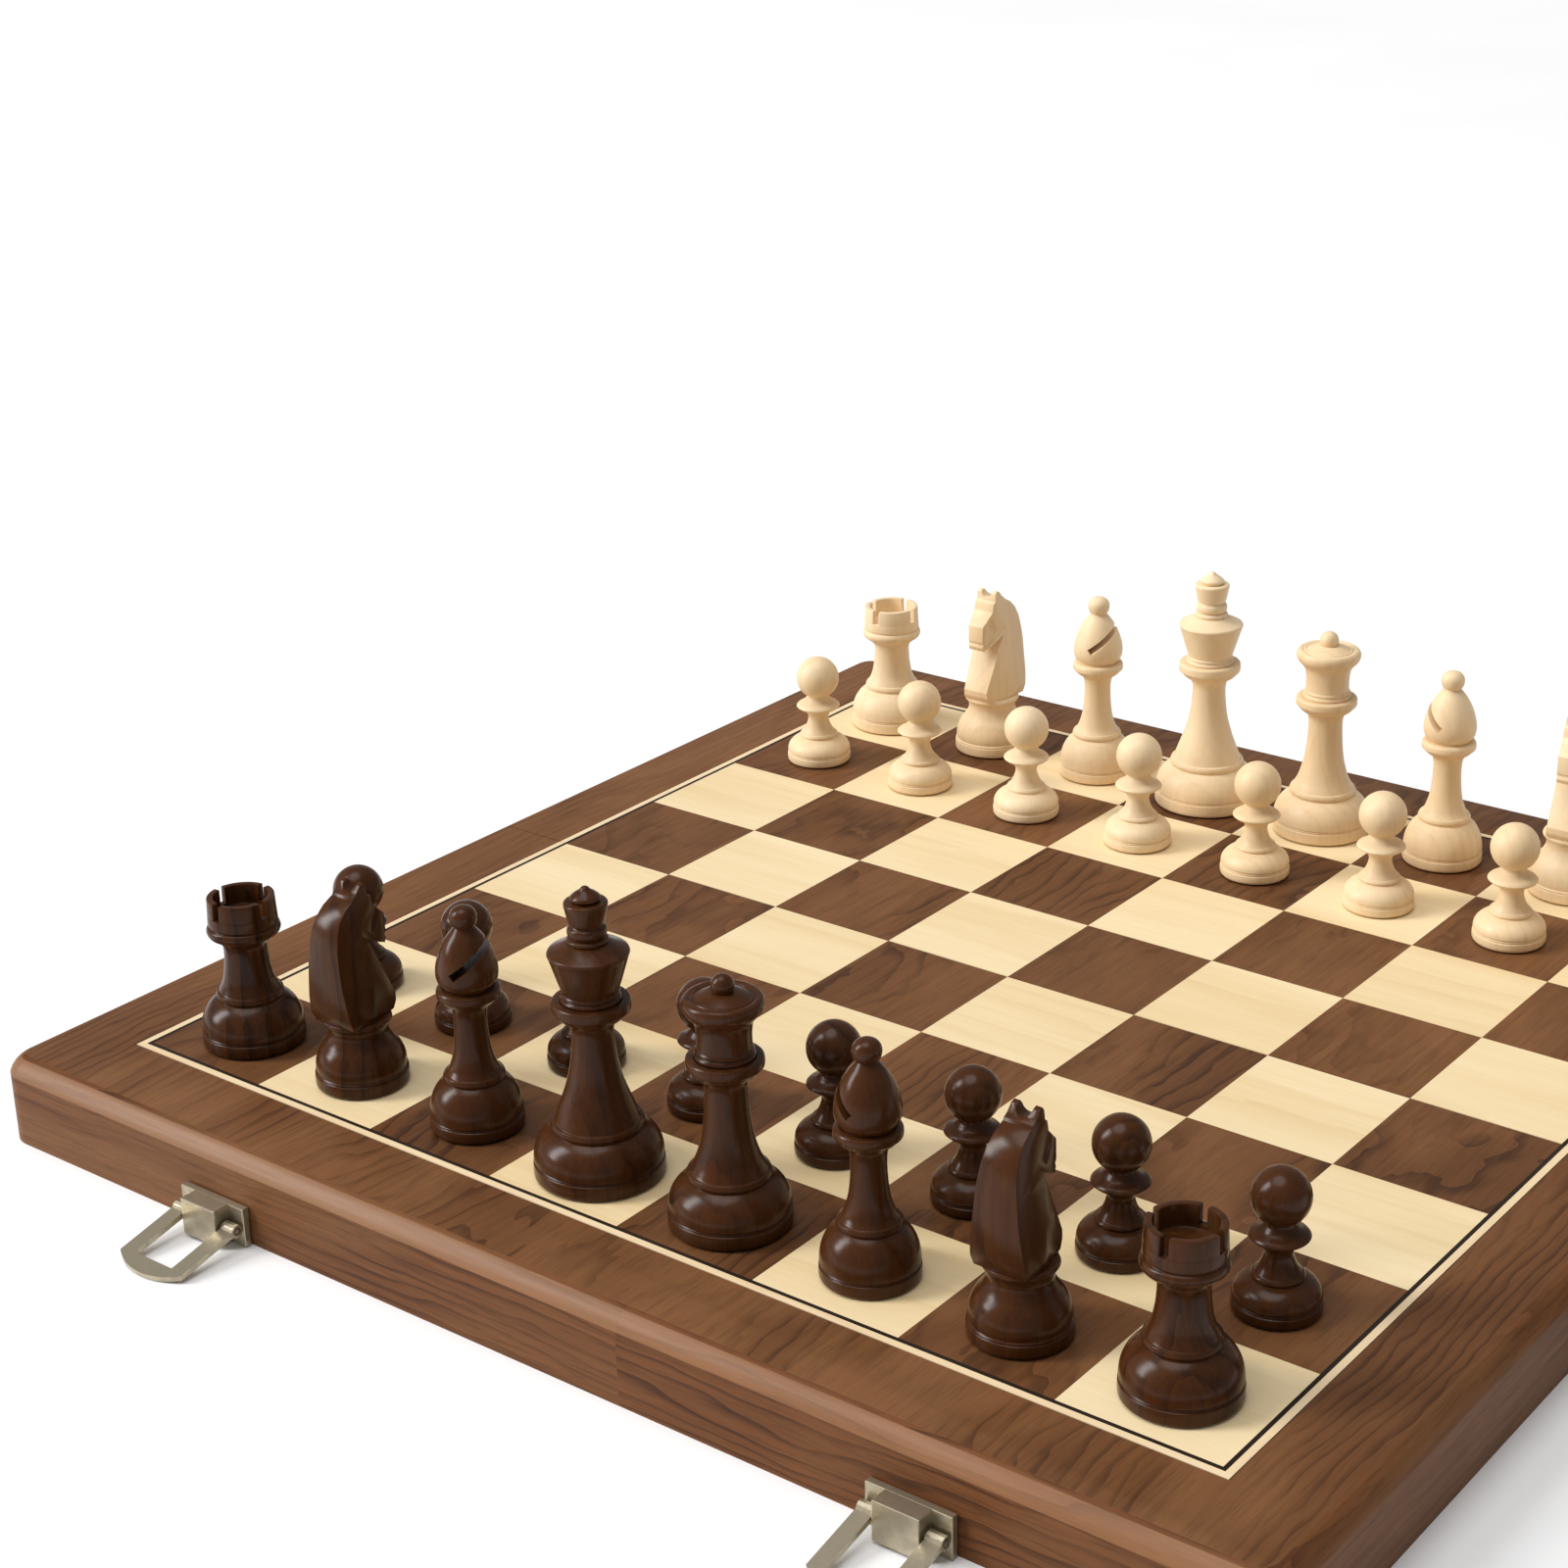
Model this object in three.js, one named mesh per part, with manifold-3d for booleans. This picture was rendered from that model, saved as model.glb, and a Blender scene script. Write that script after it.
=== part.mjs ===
// A folding chess set in play: a two-part hinged case whose outside is the board, thirty-two chessmen,
// two spare queens and four stacks of draughtsmen. Millimetres, +Z up.
// While it is built, X runs right along the latch edge, Y runs from the dark side to the light side,
// the fold lies at Y = 0 and the playing surface at Z = 0. The origin is then put at the bottom centre.
import * as THREE from 'three';
import { mergeVertices } from 'three/addons/utils/BufferGeometryUtils.js';
import Module from 'manifold-3d';

const wasm = await Module();
wasm.setup();

// ---- driving dimensions ----
const SQUARE = 40; // one square of the board
const HALF_FIELD = 4 * SQUARE; // board centre to the edge of the squares
const INLAY = 3; // dark line and light line round the squares
const HALF_BOARD = 188.5; // board centre to the outer wall
const HALF_DEPTH = 23.5; // one half of the case, playing surface to rim
const CORNER_ROUND = 8.5;
const EDGE_ROUND = 4.5;
const WALL = 12;
const PANEL = 4; // thickness of the playing panel
const LEDGE = 4; // width of the ledge that carries the panel
const LEDGE_THICK = 2;
const FIT = 0.3; // gap between neighbours
const SEAM = 0.15; // each half stands back this far from the fold

const FOLD_Z = -HALF_DEPTH - SEAM; // height of the fold axis
const PANEL_EDGE = HALF_FIELD + INLAY;
const CAVITY = HALF_BOARD - WALL;
const SEAM_WALL = SEAM + WALL; // inner face of the wall beside the fold

const TRAY_RECESS = 1; // tray below the rim
const POCKET_FLOOR = 1.6; // tray thickness left over a pocket
const CHANNEL_WIDTH = 36; // pocket for draughtsmen, beside the fold
const POCKET_MARGIN = 6;
const POCKET_COLUMNS = 4;

const HINGE_X = 115; // board centre to the middle of each hinge
const HINGE_LENGTH = 50;
const LEAF_WIDTH = 9.5;
const LEAF_THICK = 0.9;
const BARREL_R = 1.1;
const BORE_R = 0.8;
const HINGE_PIN_R = 0.5;
const KNUCKLE = 16; // length of each outer knuckle

const LATCH_X = 104.8; // board centre to the middle of each latch
const LATCH_PLATE = { width: 22, top: -12.9, bottom: -23.3, thick: 2 };
const LATCH_BLOCK = { width: 12, top: -12.9, bottom: -22.8, out: 6.6 };
const PIVOT = { out: 3.9, z: -18 }; // bail pivot, from the wall's face
const LATCH_PIN_R = 0.7;
const LATCH_BORE_R = 1.0;
const BAIL = { width: 21.6, slot: 13.2, reach: 18.6, tip: 22.3, slotEnd: 17.6, thick: 1.4, eyeR: 1.7 };
const BAIL_DROOP = 12.2; // degrees below level, tip on the table
const CATCH = { width: 9, plateWidth: 13, plateThick: 1.2, low: -18.3, high: -12.8, out: 5.2 };

const STAND_GAP = 0.1; // chessman above the board
const DARK_STANDS = -2.9; // how far the men stand from the middle of their squares, along Y
const LIGHT_STANDS = -1.4;
const TURNED_SIDES = 16;
const SMALL_SIDES = 12;

const CHECKER = { radius: 15, height: 8.2, count: 6, groove: 0.9 };
const SPARE_X = 222; // board centre to the row of spares
const SPARE_Y = { first: -14, step: 36 };

// ---- finishes ----
const finish = (colour, roughness, metalness = 0) =>
  new THREE.MeshStandardMaterial({ color: colour, roughness, metalness });
const WALNUT = finish(0x6b4a33, 0.5);
const SQUARES = finish(0xc9ae84, 0.45);
const FLOCK = finish(0x17171a, 0.95);
const NICKEL = finish(0xaea38a, 0.35, 1);
const HINGE_METAL = finish(0xb59a5b, 0.4, 1);
const DARK_WOOD = finish(0x3c2118, 0.35);
const LIGHT_WOOD = finish(0xecd2a0, 0.45);

// ---- solids ----
function solid(geometry) {
  const bare = geometry.clone();
  bare.deleteAttribute('normal');
  bare.deleteAttribute('uv');
  const merged = mergeVertices(bare, 1e-4);
  return new wasm.Manifold(new wasm.Mesh({
    numProp: 3,
    vertProperties: new Float32Array(merged.attributes.position.array),
    triVerts: new Uint32Array(merged.index.array),
  }));
}

function geometryOf(shape) {
  const mesh = shape.getMesh();
  const geometry = new THREE.BufferGeometry();
  geometry.setAttribute('position', new THREE.BufferAttribute(mesh.vertProperties, 3));
  geometry.setIndex(new THREE.BufferAttribute(mesh.triVerts, 1));
  geometry.computeVertexNormals();
  return geometry;
}

// A box between two corners.
function block(low, high) {
  const size = high.map((value, axis) => value - low[axis]);
  const geometry = new THREE.BoxGeometry(...size);
  geometry.translate(...low.map((value, axis) => value + size[axis] / 2));
  return solid(geometry);
}

// A bar along X with the given outline in Y and Z.
function barAlongX(points, from, to) {
  const outline = new THREE.Shape(points.map(([y, z]) => new THREE.Vector2(y, z)));
  const geometry = new THREE.ExtrudeGeometry(outline, { depth: to - from, bevelEnabled: false });
  geometry.applyMatrix4(new THREE.Matrix4().makeBasis(
    new THREE.Vector3(0, 1, 0), new THREE.Vector3(0, 0, 1), new THREE.Vector3(1, 0, 0),
  ));
  geometry.translate(from, 0, 0);
  return solid(geometry);
}

// A round rod along X.
function rodAlongX(radius, from, to, y, z, sides = SMALL_SIDES) {
  const geometry = new THREE.CylinderGeometry(radius, radius, to - from, sides);
  geometry.rotateZ(Math.PI / 2);
  geometry.translate((from + to) / 2, y, z);
  return solid(geometry);
}

// A solid of revolution about Z from [radius, height] points.
function turned(profile, sides = TURNED_SIDES) {
  const points = profile.map(([radius, height]) => new THREE.Vector2(radius, height));
  const geometry = new THREE.LatheGeometry(points, sides);
  geometry.rotateX(Math.PI / 2);
  return geometry;
}

function named(name, geometry, material) {
  const mesh = new THREE.Mesh(geometry, material);
  mesh.name = name;
  return mesh;
}

// ---- case ----
// The whole board as one blank, with round corners and a round upper edge.
function boardBlank() {
  const half = HALF_BOARD - EDGE_ROUND;
  const round = CORNER_ROUND - EDGE_ROUND;
  const outline = new THREE.Shape();
  const corners = [[1, -1, -90], [1, 1, 0], [-1, 1, 90], [-1, -1, 180]];
  corners.forEach(([sx, sy, start]) => {
    const from = THREE.MathUtils.degToRad(start);
    outline.absarc(sx * (half - round), sy * (half - round), round, from, from + Math.PI / 2, false);
  });
  const geometry = new THREE.ExtrudeGeometry(outline, {
    depth: HALF_DEPTH, bevelThickness: EDGE_ROUND, bevelSize: EDGE_ROUND, bevelSegments: 5, curveSegments: 8,
  });
  geometry.translate(0, 0, -HALF_DEPTH - EDGE_ROUND);
  return solid(geometry);
}

// side is -1 for the front half and 1 for the rear half.
function between(side, near, far) {
  return side < 0 ? [-far, -near] : [near, far];
}

function halfBox(side, halfWidth, near, far, low, high) {
  const [y0, y1] = between(side, near, far);
  return block([-halfWidth, y0, low], [halfWidth, y1, high]);
}

function caseFrame(side) {
  const over = 1;
  const ledgeBottom = -PANEL - FIT - LEDGE_THICK;
  const panelHole = PANEL_EDGE + FIT;
  let frame = boardBlank().intersect(halfBox(side, HALF_BOARD, SEAM, HALF_BOARD, -HALF_DEPTH, over));
  frame = frame.subtract(halfBox(side, panelHole, -over, panelHole, -PANEL - FIT, over));
  frame = frame.subtract(halfBox(side, panelHole - LEDGE, SEAM_WALL, panelHole - LEDGE, ledgeBottom - over, 0));
  frame = frame.subtract(halfBox(side, CAVITY, SEAM_WALL, CAVITY, -HALF_DEPTH - over, ledgeBottom));
  for (const x of [-HINGE_X, HINGE_X]) {
    const [y0, y1] = between(side, -over, LEAF_WIDTH + BARREL_R + FIT);
    const reach = HINGE_LENGTH / 2 + FIT;
    const mortise = block(
      [x - reach, y0, -HALF_DEPTH - over],
      [x + reach, y1, -HALF_DEPTH + LEAF_THICK + FIT],
    );
    frame = frame.subtract(mortise);
  }
  return geometryOf(frame);
}

function playingPanel(side) {
  return geometryOf(halfBox(side, PANEL_EDGE, SEAM, PANEL_EDGE, -PANEL, 0));
}

// The pocket boxes of one tray, each as [low x, high x, near, far] from the fold.
function trayPockets() {
  const near = SEAM_WALL + POCKET_MARGIN;
  const reach = PANEL_EDGE - LEDGE - POCKET_MARGIN;
  const columnNear = near + CHANNEL_WIDTH + POCKET_MARGIN;
  const step = (2 * reach + POCKET_MARGIN) / POCKET_COLUMNS;
  const pockets = [[-reach, reach, near, near + CHANNEL_WIDTH]];
  for (let column = 0; column < POCKET_COLUMNS; column += 1) {
    const low = -reach + column * step;
    pockets.push([low, low + step - POCKET_MARGIN, columnNear, reach]);
  }
  return pockets;
}

function flockTray(side) {
  const ledgeBottom = -PANEL - FIT - LEDGE_THICK;
  const top = -PANEL - FIT;
  const mouth = -HALF_DEPTH + TRAY_RECESS;
  const raised = PANEL_EDGE - LEDGE - FIT;
  let tray = halfBox(side, CAVITY - FIT, SEAM_WALL + FIT, CAVITY - FIT, mouth, ledgeBottom - FIT);
  tray = tray.add(halfBox(side, raised, SEAM_WALL + FIT, raised, mouth, top - FIT));
  for (const [x0, x1, near, far] of trayPockets()) {
    const [y0, y1] = between(side, near, far);
    tray = tray.subtract(block([x0, y0, mouth - 1], [x1, y1, top - POCKET_FLOOR]));
  }
  return geometryOf(tray);
}

// ---- hinges ----
// The front leaf has the two outer knuckles and the rear leaf the middle one.
function hingeLeaf(side, x) {
  const half = HINGE_LENGTH / 2;
  const middle = half - KNUCKLE;
  const [y0, y1] = between(side, 0, LEAF_WIDTH + BARREL_R);
  let leaf = block([x - half, y0, -HALF_DEPTH], [x + half, y1, -HALF_DEPTH + LEAF_THICK]);
  leaf = leaf.add(rodAlongX(BARREL_R, x - half, x + half, 0, FOLD_Z));
  const clear = BARREL_R + FIT;
  const cut = (from, to) => block([from, -clear, FOLD_Z - clear], [to, clear, FOLD_Z + clear]);
  if (side < 0) {
    leaf = leaf.subtract(cut(x - middle - FIT, x + middle + FIT));
  } else {
    leaf = leaf.subtract(cut(x - half - 1, x - middle + FIT));
    leaf = leaf.subtract(cut(x + middle - FIT, x + half + 1));
  }
  return geometryOf(leaf.subtract(rodAlongX(BORE_R, x - half - 1, x + half + 1, 0, FOLD_Z)));
}

function hingePin(x) {
  const half = HINGE_LENGTH / 2;
  return geometryOf(rodAlongX(HINGE_PIN_R, x - half, x + half, 0, FOLD_Z));
}

// ---- latches ----
function latchBase(x) {
  const face = -HALF_BOARD - FIT;
  const plateHalf = LATCH_PLATE.width / 2;
  const plate = block(
    [x - plateHalf, face - LATCH_PLATE.thick, LATCH_PLATE.bottom],
    [x + plateHalf, face, LATCH_PLATE.top],
  );
  const chamfer = 1.2;
  const out = face - LATCH_BLOCK.out;
  const section = [
    [face - 0.5, LATCH_BLOCK.top], [face - 0.5, LATCH_BLOCK.bottom],
    [out + chamfer, LATCH_BLOCK.bottom], [out, LATCH_BLOCK.bottom + chamfer],
    [out, LATCH_BLOCK.top - chamfer], [out + chamfer, LATCH_BLOCK.top],
  ];
  const half = LATCH_BLOCK.width / 2;
  const body = plate.add(barAlongX(section, x - half, x + half));
  const y = face - PIVOT.out;
  return geometryOf(body.subtract(rodAlongX(LATCH_BORE_R, x - half - 1, x + half + 1, y, PIVOT.z)));
}

function latchPin(x) {
  const half = BAIL.width / 2;
  return geometryOf(rodAlongX(LATCH_PIN_R, x - half, x + half, -HALF_BOARD - FIT - PIVOT.out, PIVOT.z));
}

// The bail lies along -Y from its pivot, then droops to the table.
function latchBail(x) {
  const half = BAIL.width / 2;
  const slot = BAIL.slot / 2;
  const rise = BAIL.tip - BAIL.reach;
  const arcR = (half * half + rise * rise) / (2 * rise);
  const spread = Math.asin(half / arcR);
  const outline = new THREE.Shape();
  outline.moveTo(-slot, 0);
  outline.lineTo(-half, 0);
  outline.absarc(0, arcR - BAIL.tip, arcR, -Math.PI / 2 - spread, -Math.PI / 2 + spread, false);
  [[half, 0], [slot, 0], [slot, -BAIL.slotEnd], [-slot, -BAIL.slotEnd]].forEach(
    ([px, py]) => outline.lineTo(px, py),
  );
  const geometry = new THREE.ExtrudeGeometry(outline, {
    depth: BAIL.thick, bevelEnabled: false, curveSegments: 8,
  });
  geometry.translate(0, 0, -BAIL.thick / 2);
  let bail = solid(geometry);
  for (const end of [-1, 1]) {
    const [from, to] = end < 0 ? [-half, -slot] : [slot, half];
    bail = bail.add(rodAlongX(BAIL.eyeR, from, to, 0, 0));
  }
  bail = bail.subtract(rodAlongX(LATCH_BORE_R, -half - 1, half + 1, 0, 0));
  const placed = geometryOf(bail);
  placed.rotateX(THREE.MathUtils.degToRad(BAIL_DROOP));
  placed.translate(x, -HALF_BOARD - FIT - PIVOT.out, PIVOT.z);
  return placed;
}

function latchCatch(x) {
  const face = HALF_BOARD + FIT;
  const { width, plateWidth, plateThick, low, high, out } = CATCH;
  const plate = block([x - plateWidth / 2, face, low - 2], [x + plateWidth / 2, face + plateThick, high + 2]);
  const hook = barAlongX([
    [face + 0.5, low], [face + out, low], [face + out, low + 1.6], [face + 3, high], [face + 0.5, high],
  ], x - width / 2, x + width / 2);
  return geometryOf(plate.add(hook));
}

// ---- chessmen: outlines as [radius, height] from the foot up ----
// Every man stands on the same foot: a short drum and a dome up to a ring.
function foot(radius, ringRadius, ringHeight) {
  return [
    [0, 0], [radius * 0.98, 0], [radius, 3.6], [radius * 0.96, 7],
    [radius * 0.87, ringHeight * 0.76], [ringRadius, ringHeight - 1.2], [ringRadius, ringHeight],
  ];
}

const KING = [
  ...foot(15.7, 11.2, 14.2),
  [9.4, 17], [7.3, 22.5], [5.7, 29], [5, 38], [8.3, 41], [9.3, 44.2], [7, 45.4],
  [9.7, 57.2], [4.4, 60], [4.4, 63.6], [5.2, 69.6], [3.4, 71], [0, 74],
];
const QUEEN = [
  ...foot(14.5, 9.9, 13.9),
  [7.4, 17.5], [5.6, 25], [5.1, 36], [8.2, 38.8], [9, 41.4], [6.5, 43.6],
  [6.5, 50], [9.3, 54.4], [9, 57.4], [2.6, 58], [2.8, 60.8], [0, 62.8],
];
const BISHOP = [
  ...foot(11.6, 7.5, 15.4),
  [5.4, 17.2], [4.1, 25.6], [4.1, 31], [7.6, 34.4], [7.8, 37],
  [7.6, 41.6], [5.4, 49], [2.5, 52.8], [3.1, 56], [0, 58.9],
];
const ROOK = [
  ...foot(13.3, 8.6, 14.8),
  [6.6, 17.4], [5.6, 26.5], [9.2, 30.2], [9.3, 32.4], [8.8, 33.6], [8.6, 40.9],
  [6.9, 40.9], [6.9, 35.2], [0, 35.2],
];
const PAWN = [
  [0, 0], [10.1, 0], [10, 3.4], [8.3, 7], [6, 9.8],
  [3.2, 14.4], [6.9, 18.4], [3.4, 21.4], [6.8, 26], [5.6, 31.6], [0, 34.5],
];
const KNIGHT_FOOT = [
  ...foot(11.8, 7.6, 13.6),
  [7.4, 14.4], [8.5, 16.4], [8, 18.2], [0, 18.2],
];

// Side view of the knight's head as [forward, height].
const KNIGHT_HEAD = [
  [7.6, 17.4], [8.4, 21], [3.4, 34.5], [7.4, 32.6], [10.8, 36.4], [10.4, 40.2], [6.6, 47.5],
  [4.2, 50.4], [4, 54.9], [0.4, 52.6], [-4.6, 49.6], [-8.8, 42], [-10, 33], [-9.6, 24], [-7.6, 17.4],
];
const KNIGHT_THICK = 10.4;

function lathedMan(profile, sides) {
  return () => turned(profile, sides);
}

function rookMan() {
  let tower = solid(turned(ROOK));
  const slot = { width: 2, depth: 4.4, reach: 10 };
  const rim = 40.9;
  for (const turn of [0, 1]) {
    const across = [slot.width / 2, slot.reach];
    const [hx, hy] = turn ? [across[1], across[0]] : across;
    tower = tower.subtract(block([-hx, -hy, rim - slot.depth], [hx, hy, rim + 1]));
  }
  return geometryOf(tower);
}

function bishopMan() {
  const cut = new THREE.BoxGeometry(1.3, 20, 12);
  cut.translate(0, 0, 6);
  cut.rotateY(THREE.MathUtils.degToRad(38));
  cut.translate(2.2, 0, 42.6);
  return geometryOf(solid(turned(BISHOP)).subtract(solid(cut)));
}

// The head looks along +Y.
function knightMan() {
  const outline = new THREE.Shape(KNIGHT_HEAD.map(([forward, height]) => new THREE.Vector2(forward, height)));
  const bevel = 1.6;
  const head = new THREE.ExtrudeGeometry(outline, {
    depth: KNIGHT_THICK, bevelThickness: bevel, bevelSize: bevel, bevelOffset: -bevel, bevelSegments: 1,
  });
  head.applyMatrix4(new THREE.Matrix4().makeBasis(
    new THREE.Vector3(0, 1, 0), new THREE.Vector3(0, 0, 1), new THREE.Vector3(1, 0, 0),
  ));
  head.translate(-KNIGHT_THICK / 2, 0, 0);
  return geometryOf(solid(turned(KNIGHT_FOOT)).add(solid(head)));
}

const MEN = {
  rook: rookMan,
  knight: knightMan,
  bishop: bishopMan,
  king: lathedMan(KING),
  queen: lathedMan(QUEEN),
  pawn: lathedMan(PAWN, SMALL_SIDES),
};
const BACK_ROW = [
  ['rook', 'left'], ['knight', 'left'], ['bishop', 'left'], ['king', ''],
  ['queen', ''], ['bishop', 'right'], ['knight', 'right'], ['rook', 'right'],
];

function man(kind, name, material, x, y, z, turn) {
  const mesh = named(name, MEN[kind](), material);
  mesh.position.set(x, y, z);
  mesh.rotation.z = turn;
  return mesh;
}

// side is -1 for the dark men in front and 1 for the light men behind; each army looks at the other.
function army(side, colour, material) {
  const men = new THREE.Group();
  const turn = side < 0 ? 0 : Math.PI;
  const stands = side < 0 ? DARK_STANDS : LIGHT_STANDS;
  BACK_ROW.forEach(([kind, where], file) => {
    const x = (file - 3.5) * SQUARE;
    const name = [colour, kind, where].filter(Boolean).join('_');
    men.add(man(kind, name, material, x, side * 3.5 * SQUARE + stands, STAND_GAP, turn));
    men.add(man(
      'pawn', `${colour}_pawn_${file + 1}`, material, x, side * 2.5 * SQUARE + stands, STAND_GAP, turn,
    ));
  });
  return men;
}

// ---- draughtsmen ----
function checkerStack() {
  const { radius, height, count, groove } = CHECKER;
  const profile = [[0, 0]];
  for (let layer = 0; layer < count; layer += 1) {
    const base = layer * height;
    profile.push([radius - groove, base], [radius, base + height / 2]);
  }
  profile.push([radius - groove, count * height], [0, count * height]);
  return turned(profile);
}

function spares() {
  const group = new THREE.Group();
  const rimZ = -HALF_DEPTH + STAND_GAP;
  const stacks = ['dark_checker_stack_1', 'dark_checker_stack_2', 'light_checker_stack_1', 'light_checker_stack_2'];
  stacks.forEach((name, place) => {
    const stack = named(name, checkerStack(), name.startsWith('dark') ? DARK_WOOD : LIGHT_WOOD);
    stack.position.set(SPARE_X, SPARE_Y.first + (place + 1) * SPARE_Y.step, rimZ);
    group.add(stack);
  });
  const last = SPARE_Y.first + (stacks.length + 1) * SPARE_Y.step;
  group.add(man('queen', 'spare_dark_queen', DARK_WOOD, SPARE_X, SPARE_Y.first, rimZ, 0));
  group.add(man('queen', 'spare_light_queen', LIGHT_WOOD, SPARE_X, last, rimZ, 0));
  return group;
}

// ---- assembly ----
function caseHalf(side, name) {
  const group = new THREE.Group();
  group.add(named(`${name}_frame`, caseFrame(side), WALNUT));
  group.add(named(`${name}_playing_panel`, playingPanel(side), SQUARES));
  group.add(named(`${name}_tray`, flockTray(side), FLOCK));
  return group;
}

function hinges() {
  const group = new THREE.Group();
  for (const [where, x] of [['left', -HINGE_X], ['right', HINGE_X]]) {
    group.add(named(`hinge_${where}_front_leaf`, hingeLeaf(-1, x), HINGE_METAL));
    group.add(named(`hinge_${where}_rear_leaf`, hingeLeaf(1, x), HINGE_METAL));
    group.add(named(`hinge_${where}_pin`, hingePin(x), HINGE_METAL));
  }
  return group;
}

function latches() {
  const group = new THREE.Group();
  for (const [where, x] of [['left', -LATCH_X], ['right', LATCH_X]]) {
    group.add(named(`latch_${where}_base`, latchBase(x), NICKEL));
    group.add(named(`latch_${where}_pin`, latchPin(x), NICKEL));
    group.add(named(`latch_${where}_bail`, latchBail(x), NICKEL));
    group.add(named(`latch_${where}_catch`, latchCatch(x), NICKEL));
  }
  return group;
}

const set = new THREE.Group();
set.add(caseHalf(-1, 'front'), caseHalf(1, 'rear'), hinges(), latches());
set.add(army(-1, 'dark', DARK_WOOD), army(1, 'light', LIGHT_WOOD), spares());

// The origin: bottom centre of everything.
set.updateMatrixWorld(true);
const extent = new THREE.Box3().setFromObject(set, true);
const middle = extent.getCenter(new THREE.Vector3());
set.position.set(-middle.x, -middle.y, -extent.min.z);
set.updateMatrixWorld(true);

const chessSet = new THREE.Group();
chessSet.add(set);

export default chessSet;
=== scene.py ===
"""A folding chess and draughts set, laid open with the men set up for play."""

import logging
import math
from dataclasses import dataclass
from enum import Enum
from typing import Iterable, Sequence

import bmesh
import bpy
from mathutils import Matrix, Vector


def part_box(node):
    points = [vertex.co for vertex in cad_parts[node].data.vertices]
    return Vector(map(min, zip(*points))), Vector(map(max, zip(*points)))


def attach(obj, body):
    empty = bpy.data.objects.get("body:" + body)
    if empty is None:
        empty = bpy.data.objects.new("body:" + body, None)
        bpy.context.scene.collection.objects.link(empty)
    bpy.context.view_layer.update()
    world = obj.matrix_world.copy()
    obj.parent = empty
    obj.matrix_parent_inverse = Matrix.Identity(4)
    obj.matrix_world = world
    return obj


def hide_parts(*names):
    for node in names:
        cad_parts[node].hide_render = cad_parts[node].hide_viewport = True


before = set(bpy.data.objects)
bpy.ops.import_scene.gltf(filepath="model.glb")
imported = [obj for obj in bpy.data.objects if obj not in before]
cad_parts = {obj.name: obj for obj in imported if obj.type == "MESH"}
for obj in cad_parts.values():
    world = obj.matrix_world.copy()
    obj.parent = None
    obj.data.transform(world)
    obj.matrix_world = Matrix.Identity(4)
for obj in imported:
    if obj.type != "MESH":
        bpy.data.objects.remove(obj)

MM = 0.001
RING_SCALE = 0.314  # at this scale a wave texture's rings lie one metre apart
LOG = logging.getLogger("chess_set")

Colour = tuple[float, float, float]
Setting = float | tuple | bpy.types.NodeSocket


# ---------------------------------------------------------------- finishes


class Grain(Enum):
    """The axis that a timber's fibres follow."""

    ALONG_X = 0
    ALONG_Y = 1
    UPRIGHT = 2

    def stretch(self, share: float) -> tuple[float, float, float]:
        """Gives the scale that draws a pattern out along the fibres.

        Args:
            share: Scale along the fibres, where 1 is the scale across them.

        Returns:
            The scale on X, Y and Z.
        """
        scale = [1.0, 1.0, 1.0]
        scale[self.value] = share
        return tuple(scale)


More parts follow.
